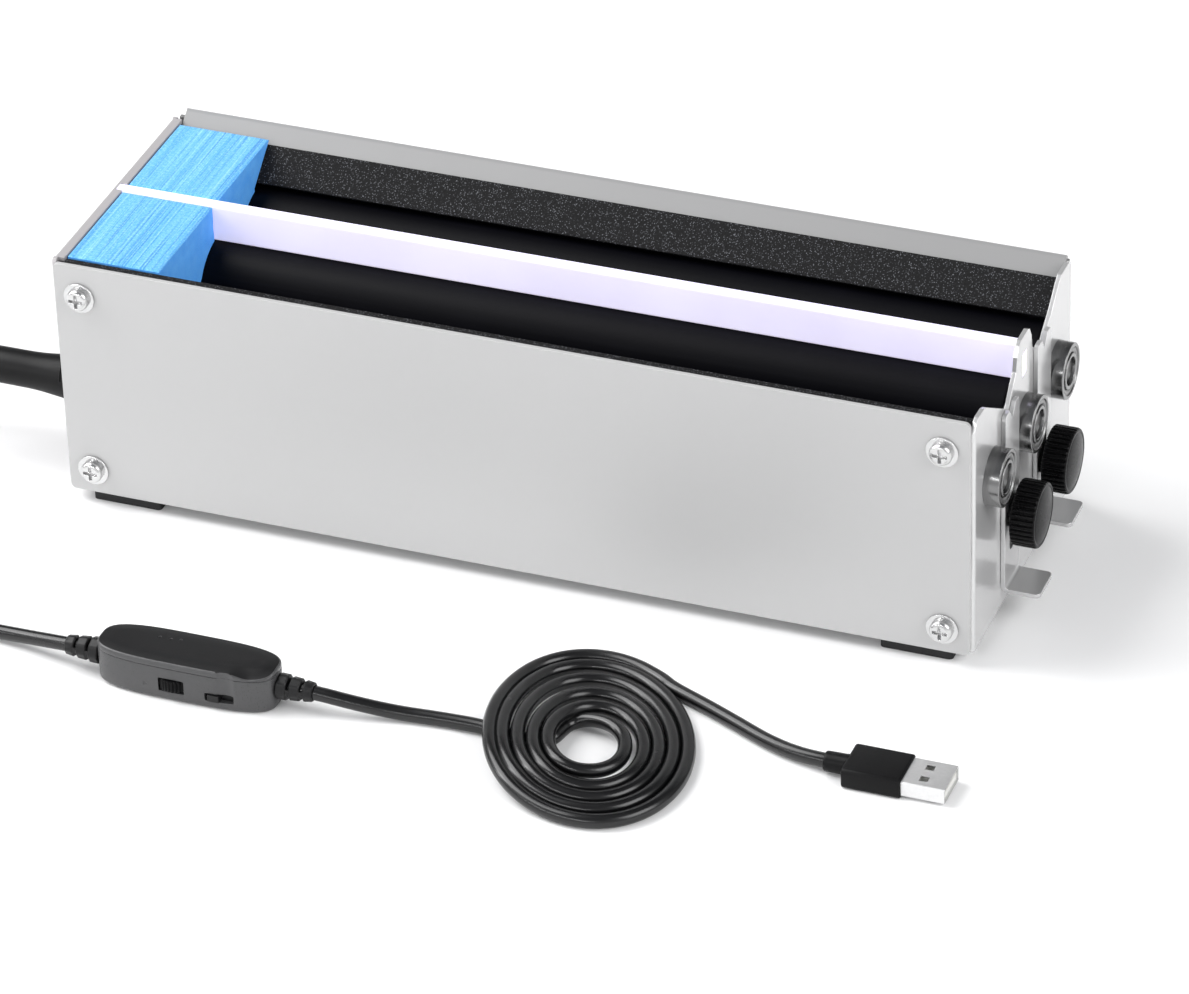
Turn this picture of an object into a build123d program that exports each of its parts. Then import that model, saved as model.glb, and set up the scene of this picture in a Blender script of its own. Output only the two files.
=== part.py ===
from build123d import *
import math
import os

# Bead spinner: a sheet-metal trough with three driven rollers, two bead
# channels, adjustable needle gates and a free low-voltage power lead.
# Millimetres, +Z up, front is -Y, the gates and knobs are at +X.

# ---------------------------------------------------------------- dimensions
T = 1.2                 # sheet thickness
HALF = 132.5            # outer face of each end plate from the case centre
PANEL_HALF = 131.5      # half length of the front and back panels
DEPTH = 43.5            # outer face of the front and back panels
FOOT_H = 4.0            # feet
FRONT_TOP = 77.0        # top edge of the front panel
BACK_TOP = 79.2         # top edge of the back panel
ROLLER_R = 13.7
PITCH = 28.0            # spacing of the roller axes
AXIS_Z = 52.0
SHAFT_R = 4.0
BRG_R = 8.0             # bearing 8 x 16 x 5
BRG_X0 = {1: 132.0, -1: 129.0}      # inner face of the bearings at each end
BRG_W = 5.0
SHAFT_END = {1: 136.0, -1: 133.0}
SLEEVE_X = (-114.5, 129.5)
PULLEY_X = (-128.6, -115.5)
PULLEY_ROOT = 10.0
PULLEY_RIM = 11.3
BELT_R = 1.1
GROOVE_X = {"motor": -126.6, "front": -122.4, "rear": -118.4}
MOTOR_Z = 22.0
MOTOR_R = 12.2
MOTOR_PULLEY_ROOT = 3.0
DIVIDER_T = 3.6
DIVIDER_Z = (66.2, 77.0)
FLANGE_SLOPE = math.radians(38.6)   # inner flange of the back panel
STOP_X = (-129.2, -102.0)           # foam bead stops at rest
GATE_W = 11.9
GATE_T = 1.2
GATE_X = HALF + 0.1
GATE_TOP = 65.6
GATE_LOW = 9.7
GATE_LIP = 143.5          # outer edge of the folded foot of each gate
REAR_GATE_UP = 5.3
KNOB_R = 9.2
KNOB_X = (135.7, 142.4)
KNOB_Z = 32.7
VALLEY = PITCH / 2.0
SCREW_X, SCREW_Z = 124.0, (11.5, 67.4)
WASHER_R, HEAD_R, HEAD_H = 4.5, 3.2, 2.1
JACK_Y, JACK_Z = -22.0, 25.8
CORD_R = 2.0
CTRL_X = (-88.3, -36.7)
CTRL_Y, CTRL_W, CTRL_H = -117.5, 15.8, 12.6
CTRL_Z = CTRL_H / 2.0               # height of the cord's way through it
CTRL_SPLIT = 10.4                   # joint between the tub and its lid
RELIEF_L = 10.2
COIL_C = (48.7, -109.1)
COIL_A, COIL_B = 38.9, 28.2         # outer half axes of the flat oval coil
COIL_TURN = -61.0                   # direction of its long axis
COIL_HOLE_C = (49.4, -110.6)
COIL_HOLE = (9.6, 7.0)
COIL_H = 8.2
USB_Y, USB_Z = -99.5, 3.0
USB_W, USB_H = 13.6, 6.0            # overmould

# the case is built about its own centre and then moved so that the origin is
# under the middle of everything but the lead
X_LEFT = -134.3                     # collar of the inlet
X_RIGHT = GATE_LIP
SHIFT = -(X_LEFT + X_RIGHT) / 2.0

parts = {}


def box(x0, x1, y0, y1, z0, z1):
    return Pos((x0 + x1) / 2, (y0 + y1) / 2, (z0 + z1) / 2) * Box(
        abs(x1 - x0), abs(y1 - y0), abs(z1 - z0)
    )


def rod(x0, x1, y, z, r):
    """Cylinder along X."""
    return Pos((x0 + x1) / 2, y, z) * Rot(0, 90, 0) * Cylinder(r, abs(x1 - x0))


def rody(y0, y1, x, z, r):
    """Cylinder along Y."""
    return Pos(x, (y0 + y1) / 2, z) * Rot(90, 0, 0) * Cylinder(r, abs(y1 - y0))


def rodz(z0, z1, x, y, r):
    return Pos(x, y, (z0 + z1) / 2) * Cylinder(r, abs(z1 - z0))


def profile_x(pts, x0, x1):
    """Closed outline given as (y, z) pairs, extruded along X."""
    wire = Polyline(*[(x0, y, z) for y, z in pts], close=True)
    face = make_face(wire)
    return extrude(face, amount=abs(x1 - x0), dir=(1, 0, 0))


def solids(*items):
    out = []
    for it in items:
        out += list(it.solids())
    return out


def group(*items):
    return Compound(children=solids(*items))


def put(name, *items):
    parts[name] = solids(*items)


# ------------------------------------------------------------------ end plates
# outline of the notched end plate, seen from outside, as (y, z)
RIGHT_OUTLINE = [
    (-42.3, FOOT_H), (42.3, FOOT_H), (42.3, 75.0), (40.8, 78.4), (39.4, 79.0),
    (32.6, 79.0), (30.6, 77.6), (24.4, 72.4), (18.6, 68.6), (15.2, 65.4), (14.0, 64.4),
    (12.9, 65.0), (9.6, 69.2), (7.0, 71.4), (6.2, 75.6), (4.6, 78.4), (3.0, 79.2),
    (-3.0, 79.2), (-4.6, 78.4), (-6.2, 75.6), (-7.0, 71.4), (-9.6, 69.2), (-12.9, 65.0),
    (-14.0, 64.4), (-15.6, 65.3), (-32.6, 76.0), (-34.8, 76.9), (-39.4, 77.0),
    (-40.8, 76.2), (-42.3, 73.2),
]
LEFT_OUTLINE = [
    (-42.3, FOOT_H), (42.3, FOOT_H), (42.3, 74.6), (40.4, FRONT_TOP), (-41.0, FRONT_TOP),
    (-42.3, 75.6),
]


def end_plate(side, outline):
    """side +1 is the gate end, -1 the drive end."""
    xo, xi = side * HALF, side * (HALF - T)
    body = profile_x(outline, min(xo, xi), max(xo, xi))
    # long edges of the sheet are rounded where it bends into its flanges
    # ears that carry the front and back panels: clear of the outer rollers
    xf = side * (HALF - 12.5)
    for ysign in (-1, 1):
        y0, y1 = sorted((ysign * 42.3, ysign * (42.3 - T)))
        body += box(min(xo, xf), max(xo, xf), y0, y1, FOOT_H, 40.0)
        body += box(min(xo, xf), max(xo, xf), y0, y1, 62.0, 72.6)
    # bottom flange that carries the base and the feet
    xb = side * 104.0
    body += box(min(xo, xb), max(xo, xb), -42.3, 42.3, FOOT_H, FOOT_H + T)
    bend = [
        e for e in body.edges().filter_by(Axis.Z)
        if abs(abs(e.center().X) - HALF) < 0.01 and abs(abs(e.center().Y) - 42.3) < 0.01
    ]
    body = fillet(bend, 0.9)
    low = [
        e for e in body.edges().filter_by(Axis.Y)
        if abs(abs(e.center().X) - HALF) < 0.01 and abs(e.center().Z - FOOT_H) < 0.01
    ]
    body = fillet(low, 0.9)
    for y in (-PITCH, 0.0, PITCH):
        body -= rod(xo - 3, xo + 3, y, AXIS_Z, BRG_R)
    # window for the divider's end tab
    body -= box(xo - 3, xo + 3, -DIVIDER_T / 2, DIVIDER_T / 2, 66.8, 74.0)
    for ysign in (-1, 1):
        for z in SCREW_Z:
            body -= rody(ysign * 40.0, ysign * 44.0, side * SCREW_X, z, 2.6)
        body -= rodz(3.0, 6.0, side * 115.75, ysign * 33.5, 1.6)
    return body


right_plate = end_plate(1, RIGHT_OUTLINE)
for y in (-VALLEY, VALLEY):
    right_plate -= rod(HALF - 3, HALF + 1, y, KNOB_Z, 2.6)
put("right_end_plate", right_plate)

left_plate = end_plate(-1, LEFT_OUTLINE)
# folded hem along the top edge
hem = box(-HALF, -HALF + 3.0, -40.0, 39.6, FRONT_TOP - T, FRONT_TOP)
hem = fillet(
    [e for e in hem.edges().filter_by(Axis.Y)
     if abs(e.center().X + HALF) < 0.01 and abs(e.center().Z - FRONT_TOP) < 0.01],
    0.8,
)
hem -= box(-HALF + T, -HALF + 4, -DIVIDER_T / 2, DIVIDER_T / 2, 70.0, 80.0)
left_plate -= box(-HALF - 1, -HALF + 2, -40.0, 39.6, FRONT_TOP - T, FRONT_TOP + 1)
left_plate += box(-HALF, -HALF + T, -4.0, 4.0, FRONT_TOP - T - 0.5, FRONT_TOP - 0.9)
left_plate += hem
left_plate -= rod(-HALF - 1, -HALF + 3, JACK_Y, JACK_Z, 4.0)
put("left_end_plate", left_plate)

# ------------------------------------------------------------------- base pan
base = box(-119.0, 119.0, -42.3, 42.3, FOOT_H + T, FOOT_H + 2 * T)
base += box(-131.3, 131.3, -41.1, 41.1, FOOT_H + T, FOOT_H + 2 * T)
for s in (-1, 1):
    base += box(-119.0, 119.0, s * 42.3, s * 41.1, FOOT_H + T, 14.0)
for sx in (-1, 1):
    for sy in (-1, 1):
        base -= rodz(4.0, 8.0, sx * 115.75, sy * 33.5, 1.5)
for y in (-9.5, 9.5):
    base -= rodz(4.0, 8.0, -99.0, y, 1.5)
put("base_pan", base)

# --------------------------------------------------------------------- panels
front = box(-PANEL_HALF, PANEL_HALF, -DEPTH, -DEPTH + T, FOOT_H, FRONT_TOP)
front = fillet(front.edges().filter_by(Axis.Y), 1.6)
for sx in (-1, 1):
    for z in SCREW_Z:
        front -= rody(-DEPTH - 1, -DEPTH + 2, sx * SCREW_X, z, 2.1)
put("front_panel", front)

# back panel: upright sheet folded forwards and down over the rear channel
ta, ca, sa = math.tan(FLANGE_SLOPE), math.cos(FLANGE_SLOPE), math.sin(FLANGE_SLOPE)
FLANGE_END_Y = 30.2


def flange_z(y, off=0.0):
    """Height of the flange's upper face at y, lifted square to the face by off."""
    return BACK_TOP - (DEPTH - y) * ta + off / ca


bend_out = (DEPTH, BACK_TOP)
back_profile = [
    (DEPTH, FOOT_H), (DEPTH, BACK_TOP - 0.9), (DEPTH - 0.5, BACK_TOP - 0.25),
    (DEPTH - 1.1, flange_z(DEPTH - 1.1)),
    (FLANGE_END_Y, flange_z(FLANGE_END_Y)),
    (FLANGE_END_Y + T * sa, flange_z(FLANGE_END_Y) - T * ca),
    (DEPTH - T, flange_z(DEPTH - T, -T)),
    (DEPTH - T, FOOT_H),
]
back = profile_x(back_profile, -PANEL_HALF, PANEL_HALF)
# the folded flange stops inside the end plates
back -= box(130.9, 133.0, 25.0, DEPTH - T, 60.0, 82.0)
back -= box(-133.0, -129.3, 25.0, DEPTH - T, 60.0, 82.0)
back -= box(-133.0, -129.3, 25.0, DEPTH + 1, 76.2, 82.0)
back -= box(130.9, 133.0, 25.0, DEPTH + 1, 77.6, 82.0)
for sx in (-1, 1):
    for z in SCREW_Z:
        back -= rody(DEPTH - 2, DEPTH + 1, sx * SCREW_X, z, 2.1)
put("back_panel", back)

# ----------------------------------------------------- foam strips and divider
strip = box(-129.3, 131.0, -42.3, -38.8, 62.0, 76.4)
for s in (-1, 1):
    lo, hi = sorted((s * 119.5, s * 132.0))
    strip -= box(lo, hi, -43.0, -38.0, 61.0, 72.9)
put("front_foam_strip", strip)

STRIP_T = 1.0
ys0, ys1 = 28.5, 37.6
rear_strip = profile_x(
    [
        (ys1, flange_z(ys1)), (ys1 - STRIP_T * sa, flange_z(ys1) + STRIP_T * ca),
        (ys0 - STRIP_T * sa, flange_z(ys0) + STRIP_T * ca), (ys0, flange_z(ys0)),
    ],
    -129.0, 130.7,
)
put("rear_foam_strip", rear_strip)

divider = box(-131.3, 131.3, -DIVIDER_T / 2, DIVIDER_T / 2, *DIVIDER_Z)
divider += box(-HALF, HALF, -DIVIDER_T / 2, DIVIDER_T / 2, 66.8, 74.0)
divider = fillet(
    [e for e in divider.edges().filter_by(Axis.X) if e.center().Z > 76.9], 0.7
)
put("divider", divider)

# ------------------------------------------------------------------- fasteners
screws, washers, nuts = [], [], []
for sy in (-1, 1):
    for sx in (-1, 1):
        for z in SCREW_Z:
            x = sx * SCREW_X
            face = sy * DEPTH
            washers.append(
                rody(face, face + 0.8, x, z, WASHER_R) - rody(face - 1, face + 2, x, z, 2.15)
                if sy > 0 else
                rody(face - 0.8, face, x, z, WASHER_R) - rody(face - 2, face + 1, x, z, 2.15)
            )
            y_head = face + sy * 0.8
            yc = y_head + sy * HEAD_H
            head = rody(min(y_head, yc), max(y_head, yc), x, z, HEAD_R)
            head = fillet([e for e in head.edges() if abs(e.center().Y - yc) < 0.01], 1.2)
            cross = box(x - 2.1, x + 2.1, min(yc, yc - sy * 1.4), max(yc, yc - sy * 1.4), z - 0.5, z + 0.5)
            cross += box(x - 0.5, x + 0.5, min(yc, yc - sy * 1.4), max(yc, yc - sy * 1.4), z - 2.1, z + 2.1)
            head -= cross
            shank_end = sy * 38.95
            head += rody(min(y_head, shank_end), max(y_head, shank_end), x, z, 2.0)
            screws.append(head)
            n0, n1 = sorted((sy * (42.3), sy * 39.1))
            nut = rody(n0, n1, x, z, 2.6)
            f0, f1 = sorted((sy * 41.1, sy * 39.1))
            nut += rody(f0, f1, x, z, 3.8)
            nut -= rody(n0 - 1, n1 + 1, x, z, 2.0)
            nuts.append(nut)
for y in (-VALLEY, VALLEY):
    nut = rod(128.6, HALF - T, y, KNOB_Z, 3.8) + rod(128.6, HALF, y, KNOB_Z, 2.6)
    nut -= rod(127.0, HALF + 1, y, KNOB_Z, 2.05)
    nuts.append(nut)
put("panel_screws", *screws)
put("panel_washers", *washers)
put("press_nuts", *nuts)

# ------------------------------------------------------------------------ feet
feet, foot_screws = [], []
for sx in (-1, 1):
    for sy in (-1, 1):
        x, y = sx * 115.75, sy * 33.5
        foot = box(x - 10.25, x + 10.25, y - 7.75, y + 7.75, 0, FOOT_H)
        foot = fillet(foot.edges().filter_by(Axis.Z), 1.2)
        foot -= rodz(-1, 2.0, x, y, 3.4)
        foot -= rodz(-1, 6.0, x, y, 1.6)
        feet.append(foot)
        s = rodz(0.5, 2.0, x, y, 2.8) + rodz(0.5, 9.0, x, y, 1.5)
        s -= box(x - 1.6, x + 1.6, y - 0.3, y + 0.3, 0.4, 1.2)
        s -= box(x - 0.3, x + 0.3, y - 1.6, y + 1.6, 0.4, 1.2)
        foot_screws.append(s)
put("feet", *feet)
put("foot_screws", *foot_screws)

# -------------------------------------------------------------------- bearings
outer, inner = [], {}
names = {-PITCH: "front", 0.0: "middle", PITCH: "rear"}
for y in (-PITCH, 0.0, PITCH):
    inner[y] = []
    for s in (-1, 1):
        x0, x1 = sorted((s * BRG_X0[s], s * (BRG_X0[s] + BRG_W)))
        ring = rod(x0, x1, y, AXIS_Z, BRG_R)
        ring = chamfer([e for e in ring.edges() if e.geom_type == GeomType.CIRCLE], 0.3)
        ring -= rod(x0 - 1, x1 + 1, y, AXIS_Z, 5.3)
        # room for the balls between two thin shields
        ring -= rod(x0 + 0.7, x1 - 0.7, y, AXIS_Z, 6.7)
        for a, b in ((x0 - 1, x0 + 0.3), (x1 - 0.3, x1 + 1)):
            ring -= rod(a, b, y, AXIS_Z, 6.7)
        outer.append(ring)
        irn = rod(x0, x1, y, AXIS_Z, 5.1) - rod(x0 - 1, x1 + 1, y, AXIS_Z, SHAFT_R)
        inner[y].append(irn)
put("bearing_outer_rings", *outer)

# --------------------------------------------------------------------- rollers
for y, nm in names.items():
    shaft = rod(-SHAFT_END[-1], SHAFT_END[1], y, AXIS_Z, SHAFT_R)
    shaft += rod(PULLEY_X[1], SLEEVE_X[0], y, AXIS_Z, 5.0)
    shaft += rod(SLEEVE_X[1], BRG_X0[1], y, AXIS_Z, 5.0)
    shaft += rod(-BRG_X0[-1], PULLEY_X[0], y, AXIS_Z, 5.0)
    ends = [
        e for e in shaft.edges()
        if e.geom_type == GeomType.CIRCLE
        and (abs(e.center().X - SHAFT_END[1]) < 0.01 or abs(e.center().X + SHAFT_END[-1]) < 0.01)
    ]
    shaft = chamfer(ends, 0.4)
    put(nm + "_roller_shaft", shaft)
    sleeve = rod(*SLEEVE_X, y, AXIS_Z, ROLLER_R)
    sleeve = fillet([e for e in sleeve.edges() if e.geom_type == GeomType.CIRCLE], 0.6)
    sleeve -= rod(SLEEVE_X[0] - 1, SLEEVE_X[1] + 1, y, AXIS_Z, SHAFT_R)
    put(nm + "_roller_sleeve", sleeve)
    pul = rod(*PULLEY_X, y, AXIS_Z, PULLEY_RIM)
    use = {"front": ["front"], "middle": ["motor", "front", "rear"], "rear": ["rear"]}[nm]
    pitch_r = PULLEY_ROOT + BELT_R + 0.05
    for g in use:
        pul -= Pos(GROOVE_X[g], y, AXIS_Z) * Rot(0, 90, 0) * Torus(pitch_r, BELT_R + 0.05)
        pul -= (
            rod(GROOVE_X[g] - BELT_R - 0.05, GROOVE_X[g] + BELT_R + 0.05, y, AXIS_Z, PULLEY_RIM + 1)
            - rod(GROOVE_X[g] - 3, GROOVE_X[g] + 3, y, AXIS_Z, pitch_r)
        )
    pul -= rod(PULLEY_X[0] - 1, PULLEY_X[1] + 1, y, AXIS_Z, SHAFT_R)
    put(nm + "_roller_pulley", pul)
    put(nm + "_bearing_inner_rings", *inner[y])

# ----------------------------------------------------------------------- belts
PITCH_R = PULLEY_ROOT + BELT_R + 0.05
MOTOR_PITCH_R = MOTOR_PULLEY_ROOT + BELT_R + 0.05


def belt(x, c1, r1, c2, r2):
    """Round belt of radius BELT_R around two pulleys in the plane X = x."""
    (y1, z1), (y2, z2) = c1, c2
    d = math.hypot(y2 - y1, z2 - z1)
    ux, uz = (y2 - y1) / d, (z2 - z1) / d
    nx, nz = -uz, ux
    b = math.asin((r1 - r2) / d)

    def at(c, r, s):
        # tangent point on side s of the centre line
        vy = math.sin(b) * ux + s * math.cos(b) * nx
        vz = math.sin(b) * uz + s * math.cos(b) * nz
        return (x, c[0] + r * vy, c[1] + r * vz)

    a1, a2 = at(c1, r1, 1), at(c2, r2, 1)
    b1, b2 = at(c1, r1, -1), at(c2, r2, -1)
    far1 = (x, c1[0] - r1 * ux, c1[1] - r1 * uz)
    far2 = (x, c2[0] + r2 * ux, c2[1] + r2 * uz)
    path = Wire([
        Edge.make_line(a1, a2), Edge.make_three_point_arc(a2, far2, b2),
        Edge.make_line(b2, b1), Edge.make_three_point_arc(b1, far1, a1),
    ])
    start = Vector(*a1)
    direction = Vector(*a2) - start
    section = Plane(origin=start, z_dir=direction) * Circle(BELT_R)
    return sweep(section, path=path)


put("motor_belt", belt(GROOVE_X["motor"], (0.0, AXIS_Z), PITCH_R, (0.0, MOTOR_Z), MOTOR_PITCH_R))
put(
    "roller_belts",
    belt(GROOVE_X["front"], (0.0, AXIS_Z), PITCH_R, (-PITCH, AXIS_Z), PITCH_R),
    belt(GROOVE_X["rear"], (0.0, AXIS_Z), PITCH_R, (PITCH, AXIS_Z), PITCH_R),
)

# ----------------------------------------------------------------------- motor
can = rod(-113.0, -85.0, 0, MOTOR_Z, MOTOR_R) - rod(-112.0, -84.0, 0, MOTOR_Z, MOTOR_R - 1.0)
can += rod(-115.0, -112.0, 0, MOTOR_Z, 3.6)
can -= rod(-116.0, -110.0, 0, MOTOR_Z, 1.05)
for y in (-8.0, 8.0):
    can -= rod(-114.0, -110.0, y, MOTOR_Z, 1.25)
put("motor_can", can)
cap = rod(-85.0, -83.0, 0, MOTOR_Z, MOTOR_R) + rod(-88.0, -85.0, 0, MOTOR_Z, MOTOR_R - 1.0)
cap -= rod(-89.0, -86.0, 0, MOTOR_Z, MOTOR_R - 2.2)
cap += rod(-87.0, -81.6, 0, MOTOR_Z, 3.2)
cap -= rod(-90.0, -82.6, 0, MOTOR_Z, 1.05)
for y in (-7.0, 7.0):
    cap += box(-83.0, -79.6, y - 0.3, y + 0.3, MOTOR_Z - 1.3, MOTOR_Z + 1.3)
put("motor_end_cap", cap)
rotor = rod(-129.4, -83.0, 0, MOTOR_Z, 1.0) + rod(-108.0, -92.0, 0, MOTOR_Z, 9.6)
rotor += rod(-92.0, -88.4, 0, MOTOR_Z, 3.6)
put("motor_rotor", rotor)
mp = rod(-129.2, -124.0, 0, MOTOR_Z, 4.6)
mp -= Pos(GROOVE_X["motor"], 0, MOTOR_Z) * Rot(0, 90, 0) * Torus(MOTOR_PITCH_R, BELT_R + 0.05)
mp -= (
    rod(GROOVE_X["motor"] - 1.15, GROOVE_X["motor"] + 1.15, 0, MOTOR_Z, 6.0)
    - rod(GROOVE_X["motor"] - 3, GROOVE_X["motor"] + 3, 0, MOTOR_Z, MOTOR_PITCH_R)
)
mp -= rod(-131.0, -123.0, 0, MOTOR_Z, 1.0)
put("motor_pulley", mp)
brk = box(-114.2, -113.0, -14.0, 14.0, FOOT_H + 2 * T, 35.5)
brk = fillet([e for e in brk.edges().filter_by(Axis.X) if e.center().Z > 30], 5.0)
brk += box(-114.2, -93.0, -14.0, 14.0, FOOT_H + 2 * T, FOOT_H + 3 * T)
brk -= rod(-116.0, -112.0, 0, MOTOR_Z, 3.65)
for y in (-8.0, 8.0):
    brk -= rod(-116.0, -112.0, y, MOTOR_Z, 1.3)
for y in (-9.5, 9.5):
    brk -= rodz(5.0, 9.0, -99.0, y, 1.25)
put("motor_bracket", brk)
ms = []
for y in (-8.0, 8.0):
    ms.append(
        rod(-115.8, -114.2, y, MOTOR_Z, 2.3) + rod(-115.0, -111.2, y, MOTOR_Z, 1.25)
        - box(-116.2, -115.2, y - 1.4, y + 1.4, MOTOR_Z - 0.25, MOTOR_Z + 0.25)
    )
for y in (-9.5, 9.5):
    ms.append(
        rodz(FOOT_H + T - 1.6, FOOT_H + T, -99.0, y, 2.3) + rodz(4.4, 9.4, -99.0, y, 1.25)
        - box(-100.4, -97.6, y - 0.25, y + 0.25, 3.0, 4.2)
    )
put("motor_screws", *ms)

# -------------------------------------------------------------- inlet and lead
jack = rod(-134.3, -HALF, JACK_Y, JACK_Z, 5.4)
jack = fillet([e for e in jack.edges() if abs(e.center().X + 134.3) < 0.01], 0.5)
jack += rod(-134.0, -119.0, JACK_Y, JACK_Z, 4.0)
jack -= rod(-135.0, -123.5, JACK_Y, JACK_Z, 2.8)
jack += rod(-132.6, -122.0, JACK_Y, JACK_Z, 1.0)
put("dc_jack_body", jack)
hexa = extrude(Plane(origin=(-HALF + T, JACK_Y, JACK_Z), z_dir=(1, 0, 0)) * RegularPolygon(6.2, 6), 2.4)
hexa -= rod(-133.0, -127.0, JACK_Y, JACK_Z, 4.0)
put("dc_jack_nut", hexa)

barrel = rod(-143.0, -124.0, JACK_Y, JACK_Z, 2.75) - rod(-133.5, -123.0, JACK_Y, JACK_Z, 1.05)
put("dc_plug_barrel", barrel)
plug_pts = [
    (-134.5, 0), (-134.5, 6.2), (-134.9, 6.6), (-142.0, 5.9), (-150.0, 5.3), (-164.0, 5.2), (-166.0, 4.5),
    (-178.0, 2.9), (-178.0, 0),
]
plug = revolve(
    Pos(0, JACK_Y, JACK_Z) * make_face(Polyline(*[(x, 0, r) for x, r in plug_pts], close=True)),
    axis=Axis((0, JACK_Y, JACK_Z), (1, 0, 0)),
)
for i in range(6):
    gx = -136.2 - 1.3 * i
    plug -= rod(gx - 0.3, gx + 0.3, JACK_Y, JACK_Z, 8.0) - rod(gx - 1, gx + 1, JACK_Y, JACK_Z, 6.0 - 0.11 * i)
for i in range(4):
    gx = -168.0 - 2.4 * i
    plug -= rod(gx - 0.4, gx + 0.4, JACK_Y, JACK_Z, 7.0) - rod(gx - 1, gx + 1, JACK_Y, JACK_Z, 2.75)
plug -= rod(-144.0, -133.0, JACK_Y, JACK_Z, 2.75)
put("dc_plug_body", plug)


def lead(points, r, label):
    """Straight runs joined by tangent arcs, each as large as its runs allow."""
    pts = [Vector(*p) for p in points]
    radii = []
    for a, b, c in zip(pts, pts[1:], pts[2:]):
        u, v = b - a, c - b
        half = math.radians(u.get_angle(v)) / 2
        radii.append(0.45 * min(u.length, v.length) / math.tan(half))
    path = FilletPolyline(*pts, radius=radii)
    tube = sweep(Plane(origin=pts[0], z_dir=pts[1] - pts[0]) * Circle(r), path=path.wire())
    length = path.length
    print(
        label, "length", round(length, 1), "volume ratio",
        round(tube.volume / (math.pi * r * r * length), 4), "radii", [round(q, 1) for q in radii],
    )
    return tube


Z0 = CORD_R
DC_ROUTE = [
    (-178.0, JACK_Y, JACK_Z), (-192.0, -22.6, 24.6), (-207.0, -27.5, 16.5), (-219.5, -38.0, 6.5),
    (-225.5, -54.0, 2.3), (-223.0, -74.0, Z0), (-211.0, -92.5, Z0), (-190.0, -106.0, Z0),
    (-163.0, -112.2, Z0), (-136.0, -112.4, Z0), (-116.0, -113.6, 3.0),
    (CTRL_X[0] - RELIEF_L, CTRL_Y, CTRL_Z),
]
put("dc_lead", lead(DC_ROUTE, CORD_R, "dc_lead"))

USB_A_ROUTE = [
    (CTRL_X[1] + RELIEF_L, CTRL_Y, CTRL_Z), (-16.0, -116.3, 4.5), (-4.5, -113.8, 2.2),
    (7.5, -112.5, Z0), (20.2, -112.2, Z0),
]
put("usb_lead_a", lead(USB_A_ROUTE, CORD_R, "usb_lead_a"))
coil = extrude(Pos(COIL_C[0], COIL_C[1], 0) * Ellipse(COIL_A, COIL_B, rotation=COIL_TURN), COIL_H)
hole = extrude(
    Pos(COIL_HOLE_C[0], COIL_HOLE_C[1], -1) * Ellipse(*COIL_HOLE, rotation=COIL_TURN), COIL_H + 2
)
put("usb_lead_coil", coil - hole)
USB_B_ROUTE = [
    (60.6, -79.9, Z0), (71.6, -84.6, Z0), (82.5, -89.8, Z0), (92.8, -94.9, Z0),
    (102.4, -98.4, 2.5), (112.0, USB_Y, USB_Z),
]
put("usb_lead_b", lead(USB_B_ROUTE, CORD_R, "usb_lead_b"))

# ------------------------------------------------------------ speed controller
cx = (CTRL_X[0] + CTRL_X[1]) / 2
cl = CTRL_X[1] - CTRL_X[0]
CTRL_F = CTRL_Y - CTRL_W / 2        # front wall
DIAL_X, DIAL_Z, DIAL_R, DIAL_T = -64.8, 5.1, 5.2, 3.6
DIAL_Y = CTRL_F + DIAL_R - 0.9
SW_X, SW_Z = -50.7, 3.9


def ctrl_block(z0, z1, inset):
    face = Pos(cx, CTRL_Y, z0) * RectangleRounded(cl - 2 * inset, CTRL_W - 2 * inset, 7.6 - inset)
    return extrude(face, z1 - z0)


shell = ctrl_block(0.0, CTRL_H, 0.0)
top_edges = [e for e in shell.edges() if abs(e.center().Z - CTRL_H) < 0.01]
shell = fillet(top_edges, 1.5)
shell = fillet([e for e in shell.edges() if abs(e.center().Z) < 0.01], 1.5)
shell -= ctrl_block(1.5, CTRL_H - 1.5, 1.6)
shell -= rod(CTRL_X[0] - 1, CTRL_X[0] + 3, CTRL_Y, CTRL_Z, 2.6)
shell -= rod(CTRL_X[1] - 3, CTRL_X[1] + 1, CTRL_Y, CTRL_Z, 2.6)
# thumb-wheel window, finger hollow and switch slot in the front wall
shell -= box(DIAL_X - 3.7, DIAL_X + 3.7, CTRL_F - 1, CTRL_F + 2.2, DIAL_Z - 2.1, DIAL_Z + 2.1)
shell -= rodz(DIAL_Z - 2.1, DIAL_Z + 2.1, DIAL_X, DIAL_Y, DIAL_R + 0.35)
shell -= rodz(SW_Z, CTRL_H + 1, SW_X + 2.0, CTRL_F - 5.2, 6.1)
shell -= box(SW_X - 4.4, SW_X + 3.8, CTRL_F - 1, CTRL_F + 2.2, SW_Z - 1.2, SW_Z + 1.2)
lower = shell & box(CTRL_X[0] - 5, CTRL_X[1] + 5, CTRL_Y - 20, CTRL_Y + 20, -1, CTRL_SPLIT)
upper = shell & box(CTRL_X[0] - 5, CTRL_X[1] + 5, CTRL_Y - 20, CTRL_Y + 20, CTRL_SPLIT, 20)
lower += rodz(1.0, DIAL_Z - DIAL_T / 2 - 0.1, DIAL_X, DIAL_Y, 1.6)
lower += rodz(1.0, DIAL_Z + DIAL_T / 2 + 1.0, DIAL_X, DIAL_Y, 1.0)
for bx in (-79.0, -45.0):
    lower += rodz(1.0, 2.0, bx, CTRL_Y + 1.5, 1.6)
put("controller_housing_bottom", lower)
put("controller_housing_top", upper)
board = box(-82.0, -43.0, CTRL_F + 3.9, CTRL_Y + 5.4, 2.0, 3.0)
board += box(-78.0, -72.0, CTRL_Y - 1.0, CTRL_Y + 4.0, 3.0, 5.0)
board += box(-58.0, -53.5, CTRL_Y + 0.4, CTRL_Y + 4.9, 3.0, 6.0)
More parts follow.
